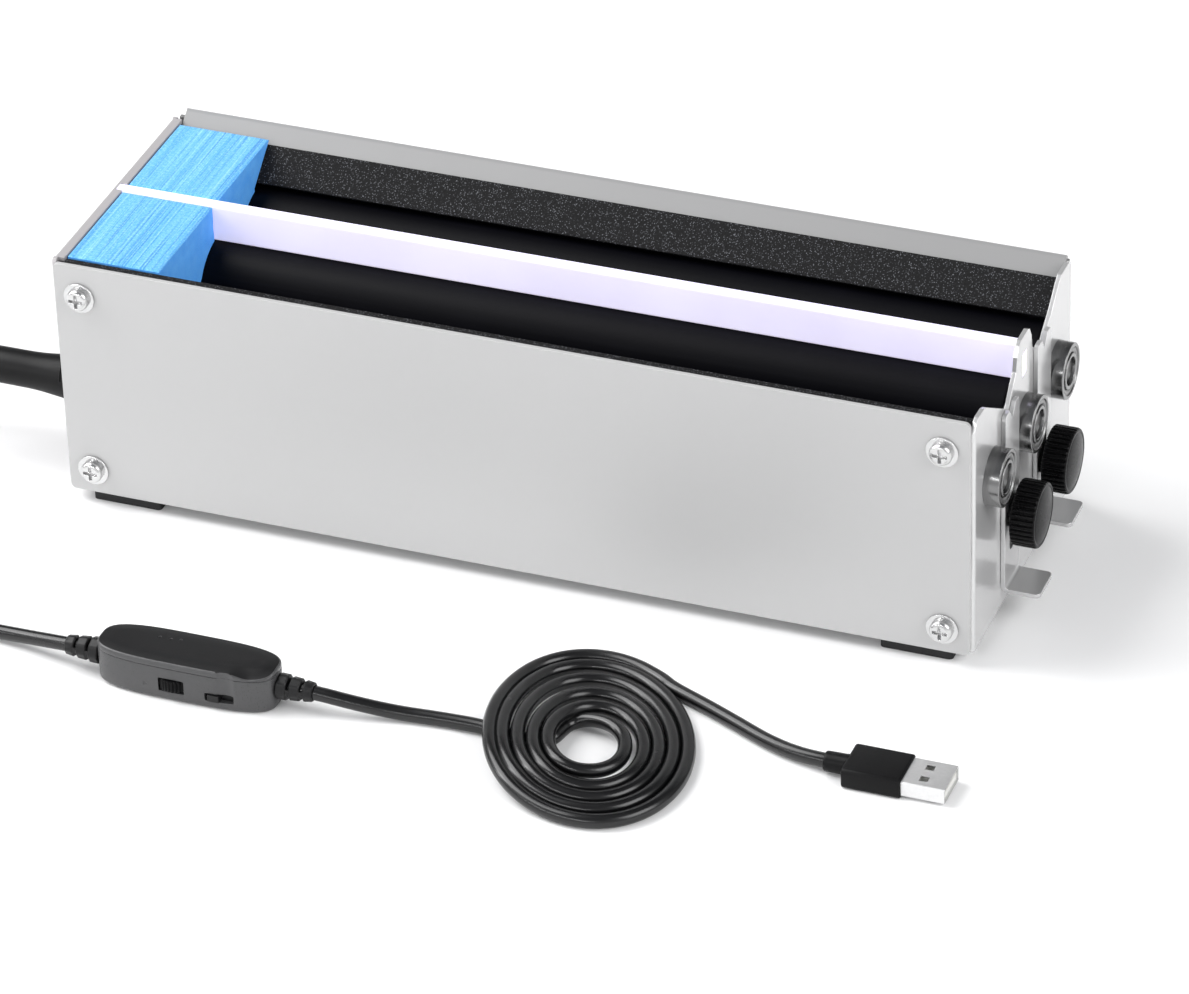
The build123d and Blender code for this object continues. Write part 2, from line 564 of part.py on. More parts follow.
board -= rodz(1.0, 4.0, DIAL_X, DIAL_Y, 1.9)
for bx in (-79.0, -45.0):
    board -= rodz(1.0, 6.0, bx, CTRL_Y + 1.5, 0.8)
put("controller_board", board)
wheel = rodz(DIAL_Z - DIAL_T / 2, DIAL_Z + DIAL_T / 2, DIAL_X, DIAL_Y, DIAL_R)
for k in range(24):
    a = 2 * math.pi * k / 24
    wheel -= rodz(
        0, 14, DIAL_X + (DIAL_R + 0.1) * math.cos(a), DIAL_Y + (DIAL_R + 0.1) * math.sin(a), 0.34
    )
wheel -= rodz(0, 14, DIAL_X, DIAL_Y, 1.05)
put("controller_dial", wheel)
slider = box(SW_X - 8.2, SW_X + 3.8, CTRL_F + 1.75, CTRL_F + 3.4, SW_Z - 1.8, SW_Z + 1.8)
slider += box(SW_X - 3.4, SW_X - 0.2, CTRL_F - 0.5, CTRL_F + 1.75, SW_Z - 1.0, SW_Z + 1.0)
put("controller_switch", slider)
reliefs = []
for s, xa in ((-1, CTRL_X[0]), (1, CTRL_X[1])):
    xin, xout = xa - s * 3.8, xa + s * RELIEF_L
    pr = [(xin, 0.0), (xin, 3.4), (xa - s * 3.0, 3.4), (xa - s * 3.0, 2.6), (xa, 2.6), (xa, 3.5), (xout, 2.5), (xout, 0.0)]
    r = revolve(
        Pos(0, CTRL_Y, CTRL_Z) * make_face(Polyline(*[(x, 0, q) for x, q in pr], close=True)),
        axis=Axis((0, CTRL_Y, CTRL_Z), (1, 0, 0)),
    )
    for gx in (3.2, 7.2):
        gx = xa + s * gx
        r -= rod(gx - 0.5, gx + 0.5, CTRL_Y, CTRL_Z, 6.0) - rod(gx - 1, gx + 1, CTRL_Y, CTRL_Z, 2.35)
    reliefs.append(r)
put("controller_reliefs", *reliefs)

# -------------------------------------------------------------------- USB plug
body = box(116.7, 133.0, USB_Y - USB_W / 2, USB_Y + USB_W / 2, 0.0, USB_H)
body = fillet(body.edges().filter_by(Axis.X), 1.3)
body = fillet([e for e in body.edges().filter_by(Axis.Z)], 0.8)
neck = Pos(113.55, USB_Y, USB_Z) * Rot(0, 90, 0) * Cone(2.6, 2.8, 6.3)
body += neck
body -= box(126.0, 135.0, USB_Y - 6.0, USB_Y + 6.0, USB_Z - 2.25, USB_Z + 2.25)
put("usb_plug_body", body)
sh = box(126.0, 144.9, USB_Y - 6.0, USB_Y + 6.0, USB_Z - 2.25, USB_Z + 2.25)
sh = fillet(sh.edges().filter_by(Axis.X), 0.5)
sh -= box(127.0, 147.0, USB_Y - 5.7, USB_Y + 5.7, USB_Z - 1.95, USB_Z + 1.95)
for sy in (-1, 1):
    sh -= box(137.2, 139.5, USB_Y + sy * 2.6 - 1.1, USB_Y + sy * 2.6 + 1.1, USB_Z - 4, USB_Z + 4)
put("usb_plug_shell", sh)
put("usb_plug_tongue", box(127.0, 144.3, USB_Y - 5.7, USB_Y + 5.7, USB_Z - 1.95, USB_Z - 0.05))

# --------------------------------------------------- wires from inlet to motor
WIRE_ROUTE = [
    (-79.8, -7.0, MOTOR_Z), (-74.0, -8.5, 19.0), (-73.0, -15.0, 12.5), (-80.0, -20.5, 9.6),
    (-94.0, -23.0, 9.4), (-106.0, -23.5, 12.6), (-112.0, -22.6, 20.4), (-119.0, JACK_Y, JACK_Z),
]
put("motor_leads", lead(WIRE_ROUTE, 1.1, "motor_leads"))

# ---------------------------------------------------------------- needle gates
for nm, yc, up in (("front", -VALLEY, 0.0), ("rear", VALLEY, REAR_GATE_UP)):
    lo, hi = GATE_LOW + up, GATE_TOP + up
    g = box(GATE_X, GATE_X + GATE_T, yc - GATE_W / 2, yc + GATE_W / 2, lo, hi)
    g += box(GATE_X, GATE_LIP, yc - GATE_W / 2, yc + GATE_W / 2, lo, lo + GATE_T)
    g = fillet(
        [e for e in g.edges().filter_by(Axis.Y)
         if abs(e.center().X - GATE_X) < 0.01 and abs(e.center().Z - lo) < 0.01], 2.2
    )
    g = fillet(
        [e for e in g.edges().filter_by(Axis.Y)
         if abs(e.center().X - GATE_X - GATE_T) < 0.01 and abs(e.center().Z - lo - GATE_T) < 0.01], 1.0
    )
    g = fillet(
        [e for e in g.edges().filter_by(Axis.Z) if abs(e.center().X - GATE_LIP) < 0.01], 1.4
    )
    g = fillet(
        [e for e in g.edges().filter_by(Axis.X) if abs(e.center().Z - hi) < 0.01], 1.6
    )
    # V that carries the needle, and the clamping slot
    g -= profile_x([(yc, hi - 3.6), (yc + 2.9, hi + 0.6), (yc - 2.9, hi + 0.6)], GATE_X - 1, GATE_X + 3)
    s0, s1 = KNOB_Z - 10.0 + up, KNOB_Z + up
    g -= box(GATE_X - 1, GATE_X + 3, yc - 2.15, yc + 2.15, s0, s1)
    g -= rod(GATE_X - 1, GATE_X + 3, yc, s0, 2.15)
    g -= rod(GATE_X - 1, GATE_X + 3, yc, s1, 2.15)
    put(nm + "_needle_gate", g)

    k = rod(KNOB_X[0], KNOB_X[1] - 0.8, yc, KNOB_Z, KNOB_R)
    k += Pos(KNOB_X[1] - 0.8, yc, KNOB_Z) * Rot(0, 90, 0) * Pos(0, 0, 0.4) * Cone(8.3, 7.0, 0.8)
    k -= group(*[
        rod(KNOB_X[0] - 1, KNOB_X[1] - 0.4, yc + (KNOB_R + 0.2) * math.cos(2 * math.pi * i / 36),
            KNOB_Z + (KNOB_R + 0.2) * math.sin(2 * math.pi * i / 36), 0.55)
        for i in range(36)
    ])
    k += rod(GATE_X + GATE_T + 0.1, KNOB_X[0], yc, KNOB_Z, 4.6)
    k -= rod(133.0, 140.0, yc, KNOB_Z, 2.0)
    put(nm + "_knob", k)
    put(nm + "_knob_stud", rod(128.0, 140.0, yc, KNOB_Z, 2.0))

# ------------------------------------------------------------------ foam stops
gap = 0.3
z_mid = 58.2
for nm, yc in (("front", -VALLEY), ("rear", VALLEY)):
    if nm == "front":
        outline = [(-38.5, 58.2), (-38.5, 76.8), (-DIVIDER_T / 2 - gap, 76.8), (-DIVIDER_T / 2 - gap, 58.2)]
    else:
        yo = 37.3
        off = STRIP_T + gap
        outline = [
            (DIVIDER_T / 2 + gap, 58.2), (DIVIDER_T / 2 + gap, 76.8), (yo, 76.8),
            (yo, flange_z(yo, off)), (26.0, flange_z(26.0, off)), (26.0, 58.2),
        ]
    b = profile_x(outline, *STOP_X)
    for y in (-PITCH, 0.0, PITCH):
        b -= rod(STOP_X[0] - 1, STOP_X[1] + 1, y, AXIS_Z, ROLLER_R + gap)
    # underside stepped up where it rests over the drive belts
    b -= box(STOP_X[0] - 1, -115.4, -45.0, 45.0, 50.0, 65.3)
    b = max(b.solids(), key=lambda q: q.volume)
    put(nm + "_foam_stop", b)

# ---------------------------------------------------------------------- export
os.makedirs("parts", exist_ok=True)
for stale in os.listdir("parts"):
    if stale.endswith(".step") and stale[:-5] not in parts:
        os.remove(os.path.join("parts", stale))
for name, items in parts.items():
    moved = [Pos(SHIFT, 0, 0) * s for s in items]
    shape = moved[0] if len(moved) == 1 else Compound(children=moved)
    shape.label = name
    export_step(shape, os.path.join("parts", name + ".step"))
print(len(parts), "nodes, shift", SHIFT)
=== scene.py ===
import math
import random

import bmesh
import bpy
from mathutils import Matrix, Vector, noise


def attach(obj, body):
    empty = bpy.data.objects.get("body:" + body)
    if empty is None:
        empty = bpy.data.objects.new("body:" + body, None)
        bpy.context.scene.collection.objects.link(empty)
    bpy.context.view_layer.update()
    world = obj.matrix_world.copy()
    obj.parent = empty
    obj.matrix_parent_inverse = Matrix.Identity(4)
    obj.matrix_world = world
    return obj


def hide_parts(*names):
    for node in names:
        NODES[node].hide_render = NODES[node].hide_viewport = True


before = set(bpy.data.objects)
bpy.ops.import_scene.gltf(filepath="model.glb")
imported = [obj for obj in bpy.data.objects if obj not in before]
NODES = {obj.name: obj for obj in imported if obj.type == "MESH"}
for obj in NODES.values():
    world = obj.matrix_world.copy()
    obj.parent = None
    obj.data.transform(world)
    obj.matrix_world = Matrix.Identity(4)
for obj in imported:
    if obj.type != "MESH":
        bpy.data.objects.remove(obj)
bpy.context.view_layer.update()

rad, sin, cos, pi = math.radians, math.sin, math.cos, math.pi
SHIFT = -4.6            # the case's centre in the row frame, mm


def P(x, y, z):
    """A point given in millimetres from the case's centre, in the row frame."""
    return Vector(((x + SHIFT) / 1000, y / 1000, z / 1000))


def smooth(a, b, v):
    t = min(1.0, max(0.0, (v - a) / (b - a)))
    return t * t * (3 - 2 * t)


# ------------------------------------------------------------------- camera
psi, th, ro = rad(21.92083), rad(33.14883), rad(-1.99084)
back = Vector((sin(psi) * cos(th), -cos(psi) * cos(th), sin(th)))
right = Vector((cos(psi), sin(psi), 0.0))
up = back.cross(right)
cam_x = right * cos(ro) + up * sin(ro)
cam_y = up * cos(ro) - right * sin(ro)
place = back * 1.8085085 + cam_x * 0.0064863 + cam_y * 0.0006893 + Vector((-0.0036, 0, 0))
cam_data = bpy.data.cameras.new("camera")
cam_data.sensor_fit = "HORIZONTAL"
cam_data.sensor_width = 36.0
cam_data.lens = 6502.088 / 1189 * 36.0
cam_data.clip_start = 0.05
cam_data.clip_end = 20.0
camera = bpy.data.objects.new("camera", cam_data)
bpy.context.collection.objects.link(camera)
m = camera.matrix_world.copy()
for i in range(3):
    m[i][0], m[i][1], m[i][2], m[i][3] = cam_x[i], cam_y[i], back[i], place[i]
camera.matrix_world = m
bpy.context.scene.camera = camera
bpy.context.scene.view_settings.view_transform = "Standard"

# ------------------------------------------------------------------- lights


def area(name, loc, target, sx, sy, power, colour=(1, 1, 1)):
    d = bpy.data.lights.new(name, "AREA")
    d.shape = "RECTANGLE"
    d.size, d.size_y, d.energy, d.color = sx, sy, power, colour
    o = bpy.data.objects.new(name, d)
    o.location = loc
    o.rotation_euler = (Vector(target) - Vector(loc)).to_track_quat("-Z", "Y").to_euler()
    bpy.context.collection.objects.link(o)
    return o


area("left_softbox", (-1.20, -0.05, 1.45), (0, 0, 0), 1.4, 1.4, 36.0)
area("front_strip", (-0.52, -1.40, 0.72), (0, 0, 0.05), 1.7, 0.07, 6.5)
area("left_strip", (-1.35, -0.35, 0.75), (0.0, -0.05, 0.02), 0.16, 1.1, 4.0)
area("right_soft", (1.50, -0.35, 1.15), (0.0, -0.02, 0.05), 1.3, 1.1, 22.0)

world = bpy.data.worlds.new("studio")
bpy.context.scene.world = world
world.use_nodes = True
wt = world.node_tree
wbg = wt.nodes["Background"]
wtc = wt.nodes.new("ShaderNodeTexCoord")
wsep = wt.nodes.new("ShaderNodeSeparateXYZ")
wramp = wt.nodes.new("ShaderNodeValToRGB")
wt.links.new(wtc.outputs["Generated"], wsep.inputs[0])
wt.links.new(wsep.outputs["Z"], wramp.inputs[0])
wt.links.new(wramp.outputs[0], wbg.inputs["Color"])
wback = wt.nodes.new("ShaderNodeMapRange")
wt.links.new(wsep.outputs["Y"], wback.inputs["Value"])
for key, val in (("From Min", -0.1), ("From Max", 0.6), ("To Min", 1.05), ("To Max", 0.40)):
    wback.inputs[key].default_value = val
wt.links.new(wback.outputs[0], wbg.inputs["Strength"])
wr = wramp.color_ramp
wr.elements[0].position, wr.elements[0].color = 0.0, (0.98, 0.98, 0.99, 1)
wr.elements[1].position, wr.elements[1].color = 0.75, (0.30, 0.305, 0.32, 1)

# ---------------------------------------------------------------- materials


def C(hexa):
    v = [int(hexa[i:i + 2], 16) / 255 for i in (0, 2, 4)]
    return tuple(q / 12.92 if q <= 0.04045 else ((q + 0.055) / 1.055) ** 2.4 for q in v) + (1.0,)


def G(v):
    return (v, v, v, 1.0)


class Mat:
    """A procedural material, built node by node."""

    def __init__(self, name, **sockets):
        self.m = bpy.data.materials.new(name)
        self.m.use_nodes = True
        self.t = self.m.node_tree
        self.b = self.t.nodes["Principled BSDF"]
        self.coord = self.t.nodes.new("ShaderNodeTexCoord")
        self.o = self.coord.outputs["Object"]
        for k, v in sockets.items():
            self.set(k, v)

    def set(self, key, value):
        self.put(self.b.inputs[key.replace("_", " ")], value)

    def put(self, sock, value):
        if isinstance(value, bpy.types.NodeSocket):
            self.t.links.new(value, sock)
        else:
            sock.default_value = value

    def node(self, kind, ins=(), **props):
        n = self.t.nodes.new(kind)
        for k, v in props.items():
            setattr(n, k, v)
        for k, v in dict(ins).items():
            self.put(n.inputs[k], v)
        return n

    def stretch(self, x, y, z, vec=None):
        return self.node(
            "ShaderNodeVectorMath", {0: vec or self.o, 1: (x, y, z)}, operation="MULTIPLY"
        ).outputs[0]

    def noise(self, scale, detail=3.0, rough=0.55, vec=None, dist=0.0):
        return self.node("ShaderNodeTexNoise", {
            "Vector": vec or self.o, "Scale": scale, "Detail": detail,
            "Roughness": rough, "Distortion": dist,
        }).outputs[0]

    def cells(self, scale, vec=None, feature="F1", rand=1.0):
        return self.node(
            "ShaderNodeTexVoronoi", {"Vector": vec or self.o, "Scale": scale, "Randomness": rand},
            feature=feature,
        )

    def math(self, op, a, b=0.0, clamp=False):
        return self.node("ShaderNodeMath", {0: a, 1: b}, operation=op, use_clamp=clamp).outputs[0]

    def fit(self, v, a, b, c=0.0, d=1.0):
        return self.node("ShaderNodeMapRange", {
            "Value": v, "From Min": a, "From Max": b, "To Min": c, "To Max": d,
        }).outputs[0]

    def ramp(self, fac, *stops):
        n = self.node("ShaderNodeValToRGB", {0: fac})
        e = n.color_ramp.elements
        while len(e) < len(stops):
            e.new(0.5)
        for q, (pos, col) in zip(e, stops):
            q.position, q.color = pos, col
        return n.outputs[0]

    def mix(self, fac, a, b, mode="MIX"):
        n = self.node("ShaderNodeMix", data_type="RGBA", blend_type=mode)
        for i, v in ((0, fac), (6, a), (7, b)):
            self.put(n.inputs[i], v)
        return n.outputs[2]

    def bump(self, height, strength, dist, normal=None):
        n = self.node("ShaderNodeBump", {"Height": height, "Strength": strength, "Distance": dist})
        if normal is not None:
            self.put(n.inputs["Normal"], normal)
        self.set("Normal", n.outputs[0])
        return n.outputs[0]

    def edges(self, radius=0.0004, top=0.55):
        """1 along the piece's edges, 0 on its faces, and the eased normal."""
        bev = self.node("ShaderNodeBevel", {"Radius": radius}, samples=4)
        geo = self.node("ShaderNodeNewGeometry")
        dot = self.node(
            "ShaderNodeVectorMath", {0: bev.outputs[0], 1: geo.outputs["Normal"]}, operation="DOT_PRODUCT"
        ).outputs["Value"]
        return self.fit(dot, 0.995, top), bev.outputs[0]

    def normal_xyz(self):
        return self.node("ShaderNodeSeparateXYZ", {0: self.coord.outputs["Normal"]}).outputs


def sheet_metal(name, tone, metallic, rough, edge_tone, streak=0.0, tint=(1.0, 1.0, 1.0), vary=0.02, peel=0.06):
    """Satin silver finish: even tone, faint cloudiness, fine peel, and brighter edges that are partly wear and partly a
    painted highlight.
    """
    g = Mat(name, Metallic=metallic)
    cloud = g.noise(14, 4, 0.6)
    fine = g.noise(2600, 2, 0.6)
    grain = g.noise(420, 3, 0.7, vec=g.stretch(1.0, 1.0, 0.06) if streak else None)
    v = g.math("ADD", g.math("MULTIPLY", cloud, 0.55), g.math("MULTIPLY", fine, 0.25))
    v = g.math("ADD", v, g.math("MULTIPLY", grain, 0.2))
    lo = tuple(tone * (1 - vary) * t for t in tint) + (1.0,)
    hi = tuple(min(1.0, tone * (1 + vary)) * t for t in tint) + (1.0,)
    col = g.ramp(v, (0.3, lo), (0.7, hi))
    mask, nrm = g.edges(0.00035)
    marks = g.noise(160, 4, 0.7)
    # edges lighter in colour: partly wear, partly a painted highlight standing in for light catching the edges
    wear_and_edge_highlight = g.math("MULTIPLY", mask, g.fit(marks, 0.30, 0.62, 0.65, 1.0), clamp=True)
    g.set("Base Color", g.mix(wear_and_edge_highlight, col, G(edge_tone)))
    r = g.fit(g.noise(60, 5, 0.65), 0.25, 0.75, rough - 0.02, rough + 0.03)
    if streak:
        r = g.math("ADD", r, g.math("MULTIPLY", g.math("SUBTRACT", grain, 0.5), streak))
    g.set("Roughness", g.math("SUBTRACT", r, g.math("MULTIPLY", wear_and_edge_highlight, 0.10), clamp=True))
    g.bump(g.math("ADD", fine, g.math("MULTIPLY", grain, 0.6)), peel, 0.00002, nrm)
    return g.m


def steel(name, tone, rough, streak_axis=None, edge_tone=0.9, bevel=0.00025):
    """Bare turned or plated steel with fine lay marks."""
    g = Mat(name, Metallic=1.0)
    sx, sy, sz = (1, 1, 1)
    if streak_axis == "X":      # turned about X: lay runs round the part
        sx, sy, sz = (14.0, 0.35, 0.35)
    lay = g.noise(900, 3, 0.7, vec=g.stretch(sx, sy, sz))
    blot = g.noise(180, 4, 0.6)
    mask, nrm = g.edges(bevel, 0.6)
    col = g.ramp(g.math("ADD", g.math("MULTIPLY", lay, 0.5), g.math("MULTIPLY", blot, 0.5)),
                 (0.32, G(tone * 0.93)), (0.68, G(min(1.0, tone * 1.06))))
    # painted highlight: edges lean to edge_tone, far lighter than the steel on bearings, screws and shafts; on the plug
    # shell edge_tone is darker, a painted shade
    g.set("Base Color", g.mix(g.math("MULTIPLY", mask, 0.7), col, G(edge_tone)))
    g.set("Roughness", g.fit(g.math("ADD", g.math("MULTIPLY", lay, 0.6), g.math("MULTIPLY", blot, 0.4)),
                             0.3, 0.7, rough * 0.88, rough * 1.15))
    g.bump(lay, 0.07, 0.00002, nrm)
    return g.m


def moulded(name, colour, light, rough, grain=2200.0, depth=0.00003, strength=0.35, edge=0.5, coat=0.0, spec=0.5):
    """Moulded plastic or rubber: fine grain, faint cloudiness, and paler edges that are partly rubbing wear and partly
    a painted glint.
    """
    g = Mat(name)
    g.b.inputs["Coat Weight"].default_value = coat
    g.b.inputs["Coat Roughness"].default_value = 0.12
    g.b.inputs["Specular IOR Level"].default_value = spec
    fine = g.noise(grain, 2, 0.55)
    cloud = g.noise(45, 4, 0.6)
    dust = g.noise(700, 5, 0.75)
    col = g.mix(g.fit(g.math("ADD", g.math("MULTIPLY", cloud, 0.6), g.math("MULTIPLY", dust, 0.4)),
                      0.35, 0.68), colour, light)
    mask, nrm = g.edges(0.0003)
    rub_and_glint = g.math("MULTIPLY", mask, g.fit(g.noise(260, 3, 0.7), 0.3, 0.65, 0.2, edge), clamp=True)
    # paler edges: rubbing wear, and a painted glint along ribs and edges
    g.set("Base Color", g.mix(rub_and_glint, col, tuple(min(1.0, c * 3.0 + 0.03) for c in light[:3]) + (1.0,)))
    r = g.fit(g.math("ADD", g.math("MULTIPLY", fine, 0.5), g.math("MULTIPLY", cloud, 0.5)),
              0.3, 0.7, rough - 0.06, rough + 0.08)
    g.set("Roughness", r)
    g.bump(fine, strength, depth, nrm)
    return g.m


M = {}
M["panel"] = sheet_metal("panel_paint", 0.475, 0.10, 0.42, 0.80, vary=0.012, peel=0.08)
# the back panel's paint is the front panel's paint set darker, a painted shade offsetting the top light on the sloped
# flange
M["back"] = sheet_metal("back_panel_paint", 0.25, 0.10, 0.42, 0.62, vary=0.012, peel=0.08)
M["end"] = sheet_metal("end_plate_metal", 0.62, 0.60, 0.20, 0.90, streak=0.03)
# the faint pink tint is a painted reflection
M["hem"] = sheet_metal("left_plate_metal", 0.40, 0.10, 0.42, 0.62, streak=0.03, tint=(1.0, 0.965, 0.985))
M["gate"] = sheet_metal("gate_metal", 0.60, 0.6, 0.20, 0.92, streak=0.03)
M["pan"] = sheet_metal("pan_metal", 0.42, 0.7, 0.38, 0.7, streak=0.12)
M["bearing"] = steel("bearing_steel_ground", 0.21, 0.20, "X", 0.95)
M["shield"] = steel("bearing_shield", 0.22, 0.30, None, 0.5)
M["shaft"] = steel("shaft_steel_turned", 0.16, 0.30, "X", 0.4)
M["screw"] = steel("screw_plated", 0.62, 0.22, None, 1.0)
M["motor"] = steel("motor_can_steel", 0.60, 0.30, "X", 0.9)
M["contact"] = steel("plug_shell_nickel", 0.74, 0.42, None, 0.25)
M["brass"] = steel("contact_plating", 0.62, 0.24, None, 0.95)
M["plastic"] = moulded("black_moulded_plastic", C("0D0D0E"), C("161617"), 0.40, spec=0.3)
# edge=0.9 paints the knob ribs' edges pale as a painted glint
M["knob"] = moulded("knob_black_plastic", C("050506"), C("0A0A0B"), 0.28, edge=0.9, spec=0.11)
# painted light: the tub plastic is the same dark plastic set lighter, standing in for the front light on the
# controller's sides
M["tub"] = moulded("controller_tub_plastic", C("3C3C3D"), C("454546"), 0.30, grain=3000, depth=0.00001, edge=0.6, spec=0.5)
M["ctrl"] = moulded("controller_lid_plastic", C("131314"), C("181819"), 0.42, grain=3000, depth=0.00001, edge=0.6, spec=0.20)
M["usb_body"] = moulded("plug_black_plastic", C("09090A"), C("101011"), 0.36, grain=2600, spec=0.14)
# edge=0.9 paints the plug's grip ribs pale as a painted highlight
M["dc_plug"] = moulded("plug_matte_rubber", C("09090A"), C("121213"), 0.44, grain=1700, edge=0.9, spec=0.20)
M["foot"] = moulded("foot_rubber_black", C("151516"), C("222224"), 0.72, grain=1500, depth=0.00006, strength=0.6)
M["pulley"] = moulded("pulley_plastic_dark", C("2A2A2C"), C("363638"), 0.42)
M["belt"] = moulded("belt_rubber_round", C("161617"), C("222224"), 0.60, grain=2400)
M["white"] = moulded("white_plastic_part", C("D9D9D4"), C("E6E6E2"), 0.42)

# glossy black cable jacket
g = Mat("cable_jacket_black")
fine = g.noise(1500, 3, 0.6)
wave = g.noise(90, 3, 0.6)
g.set("Base Color", g.ramp(g.math("ADD", g.math("MULTIPLY", fine, 0.4), g.math("MULTIPLY", wave, 0.6)),
                           (0.3, C("070708")), (0.7, C("0F0F10"))))
g.set("Roughness", g.fit(wave, 0.25, 0.75, 0.20, 0.29))
g.bump(g.math("ADD", g.math("MULTIPLY", fine, 0.5), wave), 0.15, 0.00004)
M["cord"] = g.m

# roller sleeves: smooth black rubber with faint lengthwise streaks
g = Mat("roller_sleeve_black")
streak = g.noise(420, 4, 0.65, vec=g.stretch(0.015, 1.0, 1.0))
soft = g.noise(55, 3, 0.6)
fine = g.noise(2600, 2, 0.6)
g.set("Base Color", g.ramp(g.math("ADD", g.math("MULTIPLY", streak, 0.6), g.math("MULTIPLY", soft, 0.4)),
                           (0.28, C("020205")), (0.55, C("040408")), (0.8, C("0A0A10"))))
g.set("Roughness", g.fit(streak, 0.25, 0.75, 0.38, 0.52))
g.b.inputs["Specular IOR Level"].default_value = 0.09
g.bump(g.math("ADD", streak, g.math("MULTIPLY", fine, 0.25)), 0.25, 0.00005)
M["roller"] = g.m

# opal acrylic strip given a painted glow through emission; the strip holds no lamp
g = Mat("opal_acrylic_painted_glow", Roughness=0.30)
blur = g.noise(22, 3, 0.5)
grainy = g.noise(1800, 2, 0.6)
mask, nrm = g.edges(0.0006)
tone = g.ramp(blur, (0.3, C("E2DDF8")), (0.55, C("EAE6FC")), (0.8, C("F1ECFB")))
tone = g.mix(g.math("MULTIPLY", mask, 0.6, clamp=True), tone, C("F7EAF2"))
g.set("Base Color", tone)
g.set("Emission Color", tone)
# painted light: the strip's colour, with its paler pink edges, also glows as emission
g.b.inputs["Emission Strength"].default_value = 0.42
g.set("Roughness", g.fit(grainy, 0.3, 0.7, 0.26, 0.36))
g.b.inputs["Subsurface Weight"].default_value = 0.25
g.b.inputs["Subsurface Radius"].default_value = (0.004, 0.004, 0.005)
g.bump(grainy, 0.15, 0.00002, nrm)
M["opal"] = g.m

# blue foam: fine saw lines on the sliced top; the top is painted paler and greyer and the cut ends a deeper blue, as
# painted light from above and painted shade on the ends
g = Mat("foam_blue")
lines = g.noise(1250, 4, 0.75, vec=g.stretch(1.6, 0.010, 0.6), dist=0.05)
broad = g.noise(150, 3, 0.6, vec=g.stretch(1.0, 0.05, 1.0))
pore = g.cells(2300)
nx, ny, nz = g.normal_xyz()
topness = g.fit(nz, 0.35, 0.8)
lit_top_colour = g.ramp(g.math("ADD", g.math("MULTIPLY", lines, 0.88), g.math("MULTIPLY", broad, 0.12)),
              (0.30, C("48A2E0")), (0.44, C("60AEE8")), (0.58, C("6CB8EC")), (0.75, C("86CAF2")))
hair = g.noise(1900, 2, 0.5, vec=g.stretch(1.0, 0.006, 0.3))
pebble = g.noise(1500, 3, 0.7)
lit_top_colour = g.mix(g.fit(hair, 0.45, 0.36, 0.0, 0.75), lit_top_colour, C("2F7CBE"))
lit_top_colour = g.mix(g.fit(hair, 0.58, 0.66, 0.0, 0.45), lit_top_colour, C("A9E0FA"))
lit_top_colour = g.mix(g.fit(pebble, 0.52, 0.64, 0.0, 0.35), lit_top_colour, C("B0E4FC"))
lit_top_colour = g.mix(g.fit(pebble, 0.47, 0.36, 0.0, 0.35), lit_top_colour, C("3A8ACA"))
# painted shade: the end faces take a deeper, more saturated blue than the lit top, chosen by face direction
cut = g.ramp(g.noise(240, 4, 0.6), (0.3, C("4BA3FA")), (0.7, C("5DB2FF")))
g.set("Base Color", g.mix(topness, cut, lit_top_colour))
g.set("Roughness", g.fit(pore.outputs["Distance"], 0.1, 0.6, 0.86, 0.72))
g.b.inputs["Sheen Weight"].default_value = 0.15
g.b.inputs["Specular IOR Level"].default_value = 0.25
g.bump(g.math("ADD", g.math("MULTIPLY", lines, 0.8), g.math("MULTIPLY", pore.outputs["Distance"], 0.8)), 0.75, 0.00012)
M["foam"] = g.m

# black cellular foam with pale specks
g = Mat("foam_black_speckled")
pore = g.cells(1500)
speck = g.cells(1900)
grit = g.noise(2100, 4, 0.8)
spot = g.math("MULTIPLY", g.fit(speck.outputs["Distance"], 0.36, 0.20), g.fit(grit, 0.46, 0.54), clamp=True)
base = g.ramp(g.noise(300, 5, 0.75), (0.3, C("030304")), (0.7, C("09090B")))
g.set("Base Color", g.mix(spot, base, C("66686D")))
g.set("Roughness", g.fit(spot, 0.0, 1.0, 0.80, 0.35))
g.b.inputs["Specular IOR Level"].default_value = 0.3
g.bump(g.math("ADD", pore.outputs["Distance"], g.math("MULTIPLY", grit, 0.7)), 0.7, 0.00018)
M["foam_black"] = g.m

# circuit board
g = Mat("board_green_resist", Roughness=0.35)
trace = g.node("ShaderNodeTexBrick", {"Vector": g.o, "Scale": 210.0, "Color1": C("1C5B33"), "Color2": C("17502C"),
                                      "Mortar": C("2E7A45"), "Mortar Size": 0.03})
g.set("Base Color", g.mix(g.fit(g.noise(300, 3, 0.6), 0.3, 0.7, 0.0, 0.4), trace.outputs[0], C("154425")))
g.set("Roughness", g.fit(g.noise(900, 3, 0.6), 0.3, 0.7, 0.28, 0.46))
g.bump(trace.outputs["Fac"], 0.3, 0.00005)
M["board"] = g.m

g = Mat("wire_red_jacket")
g.set("Base Color", g.ramp(g.noise(500, 4, 0.6), (0.3, C("8E1512")), (0.7, C("B3221D"))))
g.set("Roughness", g.fit(g.noise(800, 3, 0.6), 0.3, 0.7, 0.3, 0.45))
g.bump(g.noise(1500, 3, 0.6), 0.2, 0.00003)
M["wire"] = g.m

# pale studio floor
g = Mat("studio_floor")
g.set("Base Color", g.ramp(g.noise(3, 3, 0.5), (0.3, (0.90, 0.90, 0.90, 1)), (0.7, (0.92, 0.92, 0.92, 1))))
g.set("Roughness", g.fit(g.noise(12, 3, 0.5), 0.3, 0.7, 0.70, 0.80))
M["floor"] = g.m

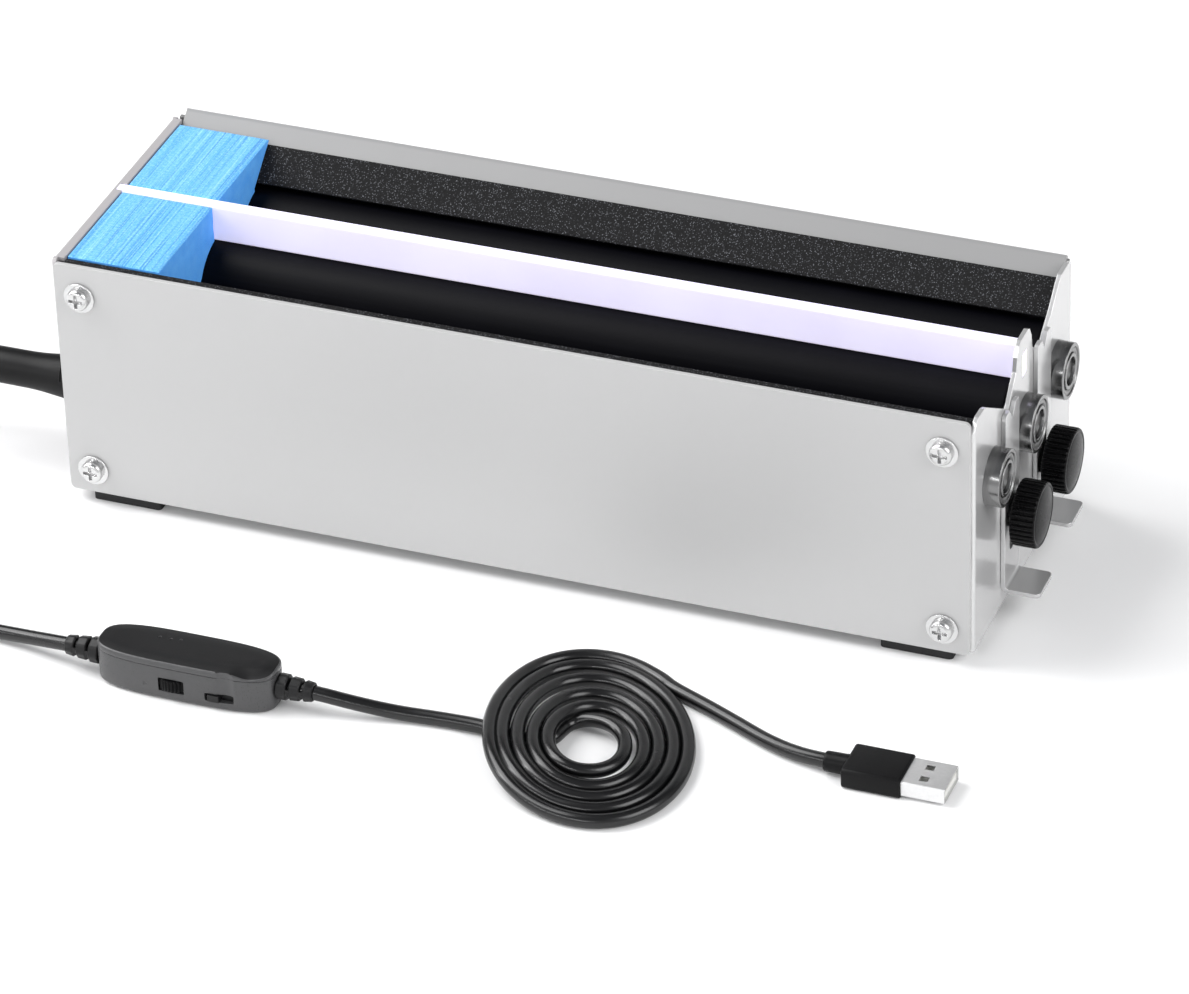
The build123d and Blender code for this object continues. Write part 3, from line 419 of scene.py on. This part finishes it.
# --------------------------------------------------------- finish of CAD nodes
FINISH = {
    "panel": ["front_panel"],
    "back": ["back_panel"],
    "end": ["right_end_plate"],
    "hem": ["left_end_plate"],
    "gate": ["front_needle_gate", "rear_needle_gate"],
    "pan": ["base_pan", "motor_bracket"],
    "shaft": ["front_roller_shaft", "middle_roller_shaft", "rear_roller_shaft", "motor_rotor",
              "front_knob_stud", "rear_knob_stud"],
    "screw": ["panel_screws", "panel_washers", "press_nuts", "foot_screws", "motor_screws", "dc_jack_nut"],
    "roller": ["front_roller_sleeve", "middle_roller_sleeve", "rear_roller_sleeve"],
    "pulley": ["front_roller_pulley", "middle_roller_pulley", "rear_roller_pulley", "motor_pulley"],
    "belt": ["motor_belt", "roller_belts"],
    "opal": ["divider"],
    "foot": ["feet"],
    "plastic": ["dc_jack_body", "controller_switch"],
    "motor": ["motor_can"],
    "white": ["motor_end_cap", "usb_plug_tongue"],
    "brass": ["dc_plug_barrel"],
    "contact": ["usb_plug_shell"],
    "board": ["controller_board"],
    "wire": ["motor_leads"],
}
for key, names in FINISH.items():
    for nm in names:
        for s in NODES[nm].material_slots:
            s.material = M[key]

# ------------------------------------------------------------- mesh building


def piece(name, verts, faces, mats, body, sharp=35.0, mm=True, weld=True):
    me = bpy.data.meshes.new(name)
    me.from_pydata([P(*v) if mm else v for v in verts], [], faces)
    bm = bmesh.new()
    bm.from_mesh(me)
    if weld:
        bmesh.ops.remove_doubles(bm, verts=bm.verts, dist=1e-7)
    bmesh.ops.recalc_face_normals(bm, faces=bm.faces)
    bm.to_mesh(me)
    bm.free()
    me.shade_smooth()
    me.set_sharp_from_angle(angle=rad(sharp))
    ob = bpy.data.objects.new(name, me)
    bpy.context.collection.objects.link(ob)
    for mt in mats if isinstance(mats, (list, tuple)) else [mats]:
        me.materials.append(mt)
    if body:
        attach(ob, body)
    return ob


def lathe(profile, cy, cz, seg=96, radius=None, closed=False, phase=0.0):
    """Rings about an axis along X. profile holds (x, r). radius(x, r, angle) may vary r."""
    v, f, rings = [], [], []
    for x, r in profile:
        if r < 1e-6:
            rings.append([len(v)])
            v.append((x, cy, cz))
            continue
        ring = []
        for k in range(seg):
            a = 2 * pi * k / seg + phase
            q = radius(x, r, a) if radius else r
            ring.append(len(v))
            v.append((x, cy + q * cos(a), cz + q * sin(a)))
        rings.append(ring)
    pairs = list(zip(rings, rings[1:])) + ([(rings[-1], rings[0])] if closed else [])
    for a, b in pairs:
        if len(a) == 1 and len(b) == 1:
            continue
        for k in range(seg):
            n = (k + 1) % seg
            if len(a) == 1:
                f.append((a[0], b[n], b[k]))
            elif len(b) == 1:
                f.append((a[k], a[n], b[0]))
            else:
                f.append((a[k], a[n], b[n], b[k]))
    return v, f


def join(*parts):
    v, f = [], []
    for pv, pf in parts:
        base = len(v)
        v += pv
        f += [tuple(i + base for i in q) for q in pf]
    return v, f


def loft(rings, cap=True):
    """Closed rings with the same number of points."""
    v = [p for ring in rings for p in ring]
    n = len(rings[0])
    f = []
    for k in range(len(rings) - 1):
        for i in range(n):
            j = (i + 1) % n
            f.append((k * n + i, k * n + j, (k + 1) * n + j, (k + 1) * n + i))
    if cap:
        f.append(tuple(range(n))[::-1])
        f.append(tuple((len(rings) - 1) * n + i for i in range(n)))
    return v, f


def block(name, xs, ys, top, bottom, mats, body, rows=8, wob=0.0, seed=0.0, mapf=None, sharp=50.0):
    """A slab with a shaped top and underside and slightly uneven sides."""
    nx, ny = len(xs), len(ys)
    v, f = [], []
    for x in xs:
        for y in ys:
            v.append((x, y, top(x, y)))
    lo = len(v)
    for x in xs:
        for y in ys:
            v.append((x, y, bottom(x, y)))
    for i in range(nx - 1):
        for j in range(ny - 1):
            a = i * ny + j
            f.append((a, a + ny, a + ny + 1, a + 1))
            f.append((lo + a, lo + a + 1, lo + a + ny + 1, lo + a + ny))
    rim = [i * ny for i in range(nx)] + [(nx - 1) * ny + j for j in range(1, ny)]
    rim += [i * ny + ny - 1 for i in range(nx - 2, -1, -1)] + [j for j in range(ny - 2, 0, -1)]
    cxm, cym = (xs[0] + xs[-1]) / 2, (ys[0] + ys[-1]) / 2
    prev = rim
    for r in range(1, rows + 1):
        if r == rows:
            cur = [q + lo for q in rim]
        else:
            cur = []
            t = r / rows
            for q in rim:
                x, y, z1 = v[q]
                z0 = v[q + lo][2]
                z = z1 + (z0 - z1) * t
                d = wob * noise.noise(Vector((x * 0.35 + seed, y * 0.35, z * 0.5)))
                ex = 1.0 if x >= xs[-1] - 1e-6 else (-1.0 if x <= xs[0] + 1e-6 else 0.0)
                ey = 1.0 if y >= ys[-1] - 1e-6 else (-1.0 if y <= ys[0] + 1e-6 else 0.0)
                cur.append(len(v))
                v.append((x + ex * d, y + ey * d, z))
        for k in range(len(rim)):
            n = (k + 1) % len(rim)
            f.append((prev[k], prev[n], cur[n], cur[k]))
        prev = cur
    if mapf:
        v = [mapf(*q) for q in v]
    return piece(name, v, f, mats, body, sharp)


# ---------------------------------------------------------------------- floor
floor = piece("floor", [(-4, -4, 0), (4, -4, 0), (4, 4, 0), (-4, 4, 0)], [(0, 1, 2, 3)], M["floor"], None, mm=False)

# ----------------------------------------------------------------------- lead
DC_ROUTE = [
    (-173.0, -22.0, 25.8), (-178.0, -22.0, 25.8), (-192.0, -22.6, 24.6), (-207.0, -27.5, 16.5),
    (-219.5, -38.0, 6.5), (-225.5, -54.0, 2.3), (-223.0, -74.0, 2.0), (-211.0, -92.5, 2.0),
    (-190.0, -106.0, 2.0), (-163.0, -112.2, 2.0), (-136.0, -112.4, 2.0), (-116.0, -113.6, 3.0),
    (-98.5, -117.5, 6.3),
]
THROUGH = [(-87.0, -117.5, 6.3), (-62.5, -117.5, 6.3), (-38.0, -117.5, 6.3)]
USB_A_ROUTE = [
    (-26.5, -117.5, 6.3), (-16.0, -116.3, 4.5), (-4.5, -113.8, 2.2), (7.5, -112.5, 2.0), (20.2, -112.2, 2.0),
]
UNDER = [(27.5, -114.0, 2.0), (34.0, -114.6, 2.0), (38.6, -112.0, 2.0)]
USB_B_ROUTE = [
    (60.6, -79.9, 2.0), (71.6, -84.6, 2.0), (82.5, -89.8, 2.0), (92.8, -94.9, 2.0), (102.4, -98.4, 2.5),
    (112.0, -99.5, 3.0), (121.0, -99.5, 3.0),
]
SPREAD = [
    (0.0, 0.0), (0.2, -0.14), (0.45, -0.14), (0.7, 0.06), (0.9, 0.48), (1.0, 0.68), (1.2, 0.86), (1.5, 1.06),
    (2.175, 1.70), (3.175, 2.66), (4.375, 3.80), (5.0, 4.22), (5.3, 4.46),
]


def spread(t):
    for (a, p), (b, q) in zip(SPREAD, SPREAD[1:]):
        if t <= b:
            return p + (q - p) * (t - a) / (b - a)
    return SPREAD[-1][1]


def gap_to(line, x, y):
    best = 1e9
    for (ax, ay), (bx, by) in zip(line, line[1:]):
        dx, dy = bx - ax, by - ay
        t = max(0.0, min(1.0, ((x - ax) * dx + (y - ay) * dy) / (dx * dx + dy * dy)))
        best = min(best, math.hypot(x - ax - t * dx, y - ay - t * dy))
    return best


# the lead dips under the coil, rises inside its hole and winds outwards, so
# the turns over the dip lie higher than those beyond it
COIL = []
dip = [(20.2, -112.2)] + [(x, y) for x, y, z in UNDER]
for i in range(107):
    phi = rad(234.0 - 18.0 * i)
    t = 18.0 * i / 360.0
    s = spread(t)
    w = smooth(1.0, 4.2, t)
    ccx, ccy = 49.4 - 0.85 * w, -110.6 + 1.9 * w
    ma, mb = (9.2 + 4.16 * s) * 1.0125, (11.9 + 6.19 * s) * 1.0125
    x = ccx + mb * cos(phi) * 0.485 + ma * sin(phi) * 0.875
    y = ccy - mb * cos(phi) * 0.875 + ma * sin(phi) * 0.485
    rise = 4.15 * (1.0 - smooth(5.2, 34.0, gap_to(dip, x, y))) * smooth(0.05, 0.32, t)
    COIL.append((x + 0.53 * rise, y - 1.31 * rise, 2.0 + rise))
LEAD = DC_ROUTE + THROUGH + USB_A_ROUTE + UNDER + COIL + USB_B_ROUTE

curve = bpy.data.curves.new("power_lead", "CURVE")
curve.dimensions = "3D"
curve.bevel_depth = 0.002
curve.bevel_resolution = 5
curve.resolution_u = 10
curve.use_fill_caps = True
sp = curve.splines.new("NURBS")
sp.points.add(len(LEAD) - 1)
for q, p in zip(sp.points, LEAD):
    q.co = (*P(*p), 1.0)
sp.order_u = 3
sp.use_endpoint_u = True
curve.materials.append(M["cord"])
lead = bpy.data.objects.new("power_lead", curve)
bpy.context.collection.objects.link(lead)
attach(lead, "case")
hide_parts("dc_lead", "usb_lead_a", "usb_lead_coil", "usb_lead_b")

# ---------------------------------------------------------------- foam pieces
FLANGE = rad(38.6)


def flange_z(y, off=0.0):
    return 79.2 - (43.5 - y) * math.tan(FLANGE) + off / cos(FLANGE)


def roller_clear(y):
    z = 58.2
    for yc in (-28.0, 0.0, 28.0):
        if abs(y - yc) < 14.0:
            z = max(z, 52.0 + math.sqrt(14.0 ** 2 - (y - yc) ** 2))
    return z


def saw_lines(seed, x0, x1):
    rnd = random.Random(seed)
    out = []
    for _ in range(80):
        u = rnd.random()
        x = x0 + (x1 - x0) * (0.10 + 0.90 * u ** 0.9)
        out.append((
            x, rnd.uniform(0.07, 0.12), rnd.uniform(0.03, 0.11) * (0.25 + 0.75 * smooth(0.0, 0.4, u)),
            rnd.uniform(0.0, 0.02), rnd.uniform(20, 60), rnd.uniform(0, 6.3), rnd.uniform(0.2, 1.0),
            rnd.uniform(6, 22), rnd.uniform(0, 6.3),
        ))
    return out


def foam_stop(name, y0, y1, rear, seed, body):
    x0, x1 = -129.2, -102.0
    lines = saw_lines(seed, x0, x1)
    xs = [x0, x0 + 0.12, x0 + 0.35]
    while xs[-1] < x1 - 0.5:
        xs.append(xs[-1] + 0.12)
    xs += [x1 - 0.3, x1 - 0.1, x1]
    step = [x for x in xs if x < -115.5] + [-115.41, -115.39] + [x for x in xs if x > -115.3]
    n = 30
    ys = [y0 + (y1 - y0) * k / n for k in range(n + 1)]
    ys = sorted(set([y0, y0 + 0.12, y0 + 0.35, y1 - 0.35, y1 - 0.12, y1] + ys[1:-1] + ([26.0, 26.03] if rear else [])))

    def top(x, y):
        d = 0.0
        for lx, wd, dp, wa, wl, ph, md, ml, mp in lines:
            q = x - lx - wa * sin(6.283 * y / wl + ph)
            if abs(q) < 3 * wd:
                d += dp * math.exp(-(q / wd) ** 2) * (1 - md * 0.5 * (1 + sin(6.283 * y / ml + mp)))
        d = min(d, 0.16)
        d += 0.02 * (0.5 + 0.5 * noise.noise(Vector((x * 0.5 + seed, y * 0.12, 0.0))))
        e = min(x - x0, x1 - x, y - y0, y1 - y)
        d += 0.28 * (1 - smooth(0.0, 0.4, e))
        return 76.8 - d

    def bottom(x, y):
        z = roller_clear(y)
        if x < -115.4:
            z = max(z, 65.3)
        if rear and y >= 26.02:
            z = max(z, flange_z(y, 1.3))
        return min(z, 76.0)

    ob = block(name, step, ys, top, bottom, M["foam"], body, rows=10, wob=0.16, seed=seed)
    return ob


fs = foam_stop("front_foam_stop_block", -38.5, -2.1, False, 11, "front_stop")
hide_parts("front_foam_stop")
rs = foam_stop("rear_foam_stop_block", 2.1, 37.3, True, 29, "rear_stop")
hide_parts("rear_foam_stop")


def xrange_mm(a, b, step, extra=()):
    n = int(round((b - a) / step))
    return sorted(set([a, b, a + 0.3, b - 0.3] + [a + (b - a) * k / n for k in range(n + 1)] + list(extra)))


def strip_top(x, y):
    e = min(y + 42.3, -38.8 - y, x + 129.3, 131.0 - x)
    return 76.4 - 0.35 * (1 - smooth(0.0, 0.55, e)) - 0.06 * noise.noise(Vector((x * 0.9, y * 1.3, 3.0)))


def strip_bottom(x, y):
    return 72.9 if abs(x) > 119.5 else 62.0


front_strip = block(
    "front_foam_edge", xrange_mm(-129.3, 131.0, 1.0, (-119.52, -119.48, 119.48, 119.52)),
    [-42.3, -42.15, -41.8, -41.2, -40.5, -39.8, -39.3, -38.95, -38.8], strip_top, strip_bottom,
    M["foam_black"], "case", rows=8, wob=0.10, seed=5.0,
)
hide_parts("front_foam_strip")

SLOPE_LEN = (37.6 - 28.5) / cos(FLANGE)


def rear_top(x, s):
    e = min(s, SLOPE_LEN - s, x + 129.0, 130.7 - x)
    return 1.0 - 0.22 * (1 - smooth(0.0, 0.5, e)) - 0.05 * noise.noise(Vector((x * 1.1, s * 1.3, 7.0)))


def on_flange(x, s, h):
    return (x, 28.5 + s * cos(FLANGE) - h * sin(FLANGE), flange_z(28.5) + s * sin(FLANGE) + h * cos(FLANGE))


rear_strip = block(
    "rear_foam_pad", xrange_mm(-129.0, 130.7, 0.8), [SLOPE_LEN * k / 16 for k in range(17)],
    rear_top, lambda x, s: 0.02, M["foam_black"], "case", rows=3, wob=0.05, seed=9.0, mapf=on_flange,
)
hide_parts("rear_foam_strip")

# ------------------------------------------------------------------- bearings
OUTER = [
    (0.0, 8.0), (2.15, 8.0), (2.38, 7.95), (2.48, 7.82), (2.5, 7.6), (2.5, 7.06), (2.44, 6.94), (2.24, 6.88),
    (2.12, 6.78), (2.14, 6.62), (2.24, 6.50), (2.27, 6.30), (2.27, 5.85), (2.18, 5.66), (2.05, 5.58), (2.05, 5.42),
    (1.98, 5.33), (1.84, 5.33), (1.80, 5.45), (1.90, 6.45), (1.70, 6.70), (0.0, 6.70),
]
INNER = [
    (0.0, 5.10), (2.20, 5.10), (2.42, 5.05), (2.50, 4.90), (2.50, 4.22), (2.42, 4.08), (2.30, 4.02), (0.0, 4.02),
]


def ring_piece(name, cyl, half, body, mats, node, shield=None):
    loop = [(x, r) for x, r in half] + [(-x, r) for x, r in reversed(half)]
    loop = loop[:len(half)] + [q for q in loop[len(half):] if abs(q[0]) > 1e-9]
    parts = []
    for xc, yc in cyl:
        parts.append(lathe([(xc + x, r) for x, r in loop], yc, 52.0, 112, closed=True))
    ob = piece(name, *join(*parts), mats, body, sharp=28)
    if shield:
        for p in ob.data.polygons:
            c = p.center
            best = min(cyl, key=lambda q: (c.x - P(q[0], 0, 0).x) ** 2 + (c.y - q[1] / 1000) ** 2)
            r = math.hypot(c.y - best[1] / 1000, c.z - 0.052) * 1000
            p.material_index = 1 if r < 6.86 else 0
    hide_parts(node)
    return ob


spots = [(x, y) for y in (-28.0, 0.0, 28.0) for x in (-131.5, 134.5)]
ring_piece("bearing_rings_outer", spots, OUTER, "case", [M["bearing"], M["shield"]], "bearing_outer_rings", True)
for nm, y in (("front", -28.0), ("middle", 0.0), ("rear", 28.0)):
    ring_piece(nm + "_bearing_rings_inner", [(-131.5, y), (134.5, y)], INNER, nm + "_roller", M["bearing"],
               nm + "_bearing_inner_rings")

# ---------------------------------------------------------------------- knobs


def knob(name, yc, body, node):
    ribs = 36

    def ribbed(x, r, a):
        if r < 8.95 or x < 135.69 or x > 142.6:
            return r
        w = abs(sin(a * ribs / 2.0))
        depth = 0.62 * smooth(135.7, 136.3, x) * (1 - smooth(141.9, 142.5, x))
        return r - depth * (1 - smooth(0.25, 0.80, w))

    prof = [
        (140.0, 0.0), (140.0, 2.02), (133.9, 2.02), (133.9, 4.35), (134.05, 4.6), (135.7, 4.6), (135.7, 8.7),
        (135.8, 9.0), (136.0, 9.15), (136.3, 9.2), (137.2, 9.2), (138.2, 9.2), (139.6, 9.2), (141.0, 9.2),
        (141.8, 9.18), (142.1, 9.10), (142.4, 8.96), (142.58, 8.72), (142.64, 8.45), (142.64, 8.2),
        (142.56, 8.05), (142.52, 7.95), (142.58, 7.8), (142.78, 7.0), (143.02, 5.6), (143.20, 4.0), (143.32, 2.2),
        (143.37, 0.9), (143.39, 0.0),
    ]
    ob = piece(name, *lathe(prof, yc, 32.7, ribs * 10, radius=ribbed), M["knob"], body, sharp=48)
    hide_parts(node)


knob("front_knob_ribbed", -14.0, "front_knob", "front_knob")
knob("rear_knob_ribbed", 14.0, "rear_knob", "rear_knob")

# -------------------------------------------------------------------- DC plug


def plug_grip(x, r, a):
    # short raised bars on the upper front side and opposite it
    k = (x + 136.0 - 0.5 * (a - 2.35)) / 0.8
    n = round(k)
    if -6 <= n <= 0 and r > 5.0:
        on = max(0.0, 1 - abs(k - n) / 0.34)
        for mid in (2.35, 2.35 + pi):
            d = abs((a - mid + pi) % (2 * pi) - pi)
            if d < 0.55:
                return r + 0.32 * min(1.0, on * 2.0) * (1 - smooth(0.45, 0.55, d))
    return r


prof = [(-143.0, 0.0), (-143.0, 2.76), (-134.5, 2.76), (-134.5, 6.2), (-134.62, 6.48), (-134.9, 6.6)]
x = -135.0
while x > -150.0:
    prof.append((x, 5.28 + 1.32 * (1 - smooth(-135.0, -152.0, x)) ** 1.0))
    x -= 0.10 if x > -142.5 else 0.5
prof += [(-152.0, 5.26), (-156.0, 5.22), (-163.6, 5.18), (-164.2, 5.06), (-164.5, 4.85), (-164.7, 4.65), (-165.4, 4.48)]
for i in range(4):
    gx = -168.0 - 2.4 * i
    r0 = 4.5 + (gx + 0.55 + 166.0) * 0.133
    r1 = 4.5 + (gx - 0.55 + 166.0) * 0.133
    prof += [(gx + 0.70, r0), (gx + 0.55, r0 - 0.15), (gx + 0.45, max(2.5, r0 - 1.0)),
             (gx - 0.45, max(2.5, r1 - 1.0)), (gx - 0.55, r1 - 0.15), (gx - 0.70, r1)]
prof += [(-177.6, 2.96), (-177.9, 2.80), (-178.0, 2.4), (-178.0, 2.05), (-176.0, 2.02), (-170.0, 2.02), (-170.0, 0.0)]
dc = piece("dc_plug_moulding", *lathe(prof, -22.0, 25.8, 120, radius=plug_grip), M["dc_plug"], "case", sharp=40)
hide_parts("dc_plug_body")

# ----------------------------------------------------------------- controller
CX, CY = -62.5, -117.5
HL, HW, HZ = 25.8, 7.9, 12.6
SPLIT = 10.4


def oval(inset, z, n=128, drop=0.0):
    """Plan outline of the controller: a superellipse, pulled in by inset."""
    pts = []
    a, b, e = HL - inset, HW - inset, 3.3
    for k in range(n):
        t = 2 * pi * k / n
        c, s = cos(t), sin(t)
        x = CX + a * math.copysign(abs(c) ** (2 / e), c)
        y = CY + b * math.copysign(abs(s) ** (2 / e), s)
        front = smooth(0.0, 1.0, -(y - CY) / b)
        dz = drop * smooth(-48.5, -42.5, x) * front
        pts.append((x, y, z - dz))
    return pts


def shell_tub():
    out = [oval(i, z) for i, z in (
        (3.2, 0.0), (1.5, 0.02), (0.85, 0.18), (0.4, 0.55), (0.12, 1.05), (0.0, 1.6), (0.0, 4.0), (0.0, 6.5),
        (0.0, 9.0), (0.0, SPLIT - 0.30), (0.06, SPLIT - 0.14), (0.20, SPLIT - 0.06),
    )]
    inn = [oval(i, z) for i, z in (
        (1.6, SPLIT - 0.06), (1.6, 6.0), (1.6, 2.2), (1.9, 1.6), (3.2, 1.5),
    )]
    return loft(out + inn)


def shell_lid():
    out = [oval(i, z, drop=d) for i, z, d in (
        (0.20, SPLIT - 0.02, 0.0), (0.05, SPLIT + 0.08, 0.0), (0.0, SPLIT + 0.22, 0.05), (0.0, 11.2, 0.55),
        (0.04, 11.7, 1.0), (0.20, 12.02, 1.25), (0.48, 12.18, 1.35), (0.80, 12.24, 1.32), (1.5, 12.36, 1.1),
        (2.3, 12.50, 0.7), (3.2, 12.58, 0.35), (4.4, 12.6, 0.1),
    )]
    inn = [oval(i, z) for i, z in ((3.6, 11.0), (1.9, 10.9), (1.6, 10.7), (1.6, SPLIT - 0.02))]
    return out, inn


def cut(ob, cutters):
    """Takes the cutters out of the piece's mesh and keeps only the result."""
    for c in cutters:
        md = ob.modifiers.new("cut", "BOOLEAN")
        md.operation = "DIFFERENCE"
        md.solver = "EXACT"
        md.object = c
    bpy.context.view_layer.update()
    dg = bpy.context.evaluated_depsgraph_get()
    me = bpy.data.meshes.new_from_object(ob.evaluated_get(dg))
    ob.modifiers.clear()
    old = ob.data
    ob.data = me
    bpy.data.meshes.remove(old)
    for c in cutters:
        cm = c.data
        bpy.data.objects.remove(c)
        bpy.data.meshes.remove(cm)
    me.shade_smooth()
    me.set_sharp_from_angle(angle=rad(34))
    return ob


def upright(x, y, z0, z1, r, seg=72):
    rings = [[(x + r * cos(2 * pi * k / seg), y + r * sin(2 * pi * k / seg), z) for k in range(seg)] for z in (z0, z1)]
    return piece("cutter", *loft(rings), [], None)


def bar(x0, x1, y0, y1, z0, z1, r=0.0, n=5):
    """A bar along Y with rounded corners in its X-Z outline."""
    pts = []
    for sx, sz, a0 in ((x1 - r, z1 - r, 0), (x0 + r, z1 - r, 90), (x0 + r, z0 + r, 180), (x1 - r, z0 + r, 270)):
        for k in range(n + 1):
            a = rad(a0 + 90.0 * k / n)
            pts.append((sx + r * cos(a), sz + r * sin(a)))
    rings = [[(px, y, pz) for px, pz in pts] for y in (y0, y1)]
    return loft(rings)


DIAL_X, DIAL_Y, DIAL_Z, DIAL_R = -64.8, -121.1, 5.1, 5.2
SW_X, SW_Z = -50.7, 3.9
WALL_F = CY - HW


def ctrl_cutters(upper):
    out = [upright(SW_X + 2.0, WALL_F - 5.2, SW_Z, 14.0, 6.1)]
    if not upper:
        out.append(piece("cutter", *bar(DIAL_X - 3.7, DIAL_X + 3.7, WALL_F - 1, WALL_F + 2.6, DIAL_Z - 2.1, DIAL_Z + 2.1, 0.5), [], None))
        out.append(upright(DIAL_X, DIAL_Y, DIAL_Z - 2.1, DIAL_Z + 2.1, DIAL_R + 0.35))
        out.append(piece("cutter", *bar(SW_X - 4.4, SW_X + 3.8, WALL_F - 1, WALL_F + 2.6, SW_Z - 1.2, SW_Z + 1.2, 0.35), [], None))
        # cable holes and a small wedge mark beside the wheel
        out.append(piece("cutter", *lathe([(-90.0, 0.0), (-90.0, 2.6), (-84.0, 2.6), (-84.0, 0.0)], CY, 6.3, 48), [], None))
        out.append(piece("cutter", *lathe([(-41.0, 0.0), (-41.0, 2.6), (-35.0, 2.6), (-35.0, 0.0)], CY, 6.3, 48), [], None))
        tri = [(-72.9, 5.1), (-72.9, 3.7), (-71.6, 4.4)]
        rings = [[(px, y, pz) for px, pz in tri] for y in (WALL_F - 1, WALL_F + 0.25)]
        out.append(piece("cutter", *loft(rings), [], None))
    else:
        for px, py in ((-72.1, -114.8), (-68.9, -114.8), (-66.2, -114.4)):
            out.append(upright(px, py, 12.35, 14.0, 0.42, 20))
    return out


v, f = shell_tub()
tub = piece("controller_tub", v, f, M["tub"], None, sharp=34)
cut(tub, ctrl_cutters(False))
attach(tub, "case")
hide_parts("controller_housing_bottom")

out_r, in_r = shell_lid()
rings = list(in_r) + list(out_r)
v, f = loft(rings, cap=False)
n = len(rings[0])
f.append(tuple(range(n))[::-1])
f.append(tuple((len(rings) - 1) * n + i for i in range(n)))
lid = piece("controller_lid", v, f, [M["ctrl"], M["tub"]], None, sharp=34)
cut(lid, ctrl_cutters(True))
# painted light: the lid's flat top keeps the dark plastic, while its rim and sides take the lighter tub plastic, by
# face direction
for pg in lid.data.polygons:
    qx, qy = pg.center.x * 1000 - SHIFT - CX, pg.center.y * 1000 - CY
    inside = (abs(qx) / (HL - 0.35)) ** 3.3 + (abs(qy) / (HW - 0.35)) ** 3.3 < 1.0
    pg.material_index = 0 if inside and pg.normal.z > 0.2 else 1
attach(lid, "case")
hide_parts("controller_housing_top")

# thumb wheel: knurled rim, thin edges
wheel_rings = []
for z, r in ((-1.8, 4.75), (-1.66, 5.05), (-1.4, 5.2), (0.0, 5.2), (1.4, 5.2), (1.66, 5.05), (1.8, 4.75)):
    ring = []
    for k in range(192):
        a = 2 * pi * k / 192
        w = abs(sin(a * 16))
        q = r - (0.42 * (1 - smooth(0.15, 0.75, w)) if abs(z) < 1.75 else 0.30)
        ring.append((DIAL_X + q * cos(a), DIAL_Y + q * sin(a), DIAL_Z + z))
    wheel_rings.append(ring)
inner_rings = [[(DIAL_X + 1.05 * cos(2 * pi * k / 192), DIAL_Y + 1.05 * sin(2 * pi * k / 192), DIAL_Z + z)
                for k in range(192)] for z in (1.8, -1.8)]
v, f = loft(wheel_rings + inner_rings, cap=False)
n = 192
last = len(wheel_rings) + 1
f += [(last * n + i, last * n + (i + 1) % n, (i + 1) % n, i) for i in range(n)]
dial = piece("controller_thumb_wheel", v, f, M["knob"], "speed_dial", sharp=40)
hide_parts("controller_dial")

# strain reliefs: three shrinking collars joined by side webs
relief_parts = []
for s, xa in ((-1, -88.3), (1, -36.7)):
    segs = ((0.0, 2.9, 3.5, 3.42), (3.7, 6.6, 3.16, 2.98), (7.5, 10.2, 2.82, 2.55))
    for a, b, ra, rb in segs:
        pts = [(xa + s * a, 2.06), (xa + s * a, ra - 0.3), (xa + s * (a + 0.3), ra), (xa + s * (b - 0.3), rb),
               (xa + s * b, rb - 0.3), (xa + s * b, 2.06)]
        relief_parts.append(lathe(pts, CY, 6.3, 72, closed=True, radius=lambda x, r, q: r * (1 + (0.05 * cos(4 * q) ** 2 if r > 2.3 else 0))))
    for a, b, r in ((2.8, 3.8, 3.0), (6.5, 7.6, 2.75)):
        for side in (-1, 1):
            y0, y1 = sorted((CY + side * 2.08, CY + side * r))
            x0, x1 = sorted((xa + s * a, xa + s * b))
            relief_parts.append(bar(x0, x1, y0, y1, 6.3 - 1.0, 6.3 + 1.0, 0.05, 1))
    # neck held inside the housing
    pts = [(xa - s * 3.8, 2.06), (xa - s * 3.8, 3.4), (xa - s * 3.0, 3.4), (xa - s * 3.0, 2.55), (xa + s * 0.1, 2.55), (xa + s * 0.1, 2.06)]
    relief_parts.append(lathe(pts, CY, 6.3, 72, closed=True))
relief = piece("controller_relief_collars", *join(*relief_parts), M["plastic"], "case", sharp=40, weld=False)
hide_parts("controller_reliefs")

# ------------------------------------------------------------------- USB plug
UY, UZ = -99.5, 3.0


def slab_ring(x, hw, z0, z1, r, n=6):
    pts = []
    for sy, sz, a0 in ((UY + hw - r, z1 - r, 0), (UY - hw + r, z1 - r, 90), (UY - hw + r, z0 + r, 180), (UY + hw - r, z0 + r, 270)):
        for k in range(n + 1):
            a = rad(a0 + 90.0 * k / n)
            pts.append((x, sy + r * cos(a), sz + r * sin(a)))
    return pts


body_rings = [
    slab_ring(116.7, 5.9, 0.7, 5.3, 0.7), slab_ring(116.72, 6.3, 0.35, 5.65, 0.9), slab_ring(116.95, 6.65, 0.12, 5.88, 1.1),
    slab_ring(117.4, 6.8, 0.0, 6.0, 1.25), slab_ring(124.0, 6.8, 0.0, 6.0, 1.25), slab_ring(132.3, 6.8, 0.0, 6.0, 1.25),
    slab_ring(132.75, 6.72, 0.08, 5.92, 1.1), slab_ring(132.95, 6.5, 0.3, 5.7, 0.9), slab_ring(133.0, 6.2, 0.6, 5.4, 0.5),
    slab_ring(133.0, 6.04, 0.72, 5.28, 0.5), slab_ring(126.0, 6.04, 0.72, 5.28, 0.5),
]
usb = piece("usb_plug_moulding", *loft(body_rings), M["usb_body"], None, sharp=38)
neck = lathe([(110.4, 2.04), (110.4, 2.55), (110.6, 2.7), (111.2, 2.78), (115.9, 2.85), (116.3, 2.92), (118.5, 2.92), (118.5, 2.04)],
             UY, UZ, 64, closed=True)
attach(usb, "case")
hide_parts("usb_plug_body")
collar = piece("usb_plug_collar", *neck, M["usb_body"], "case", sharp=38)
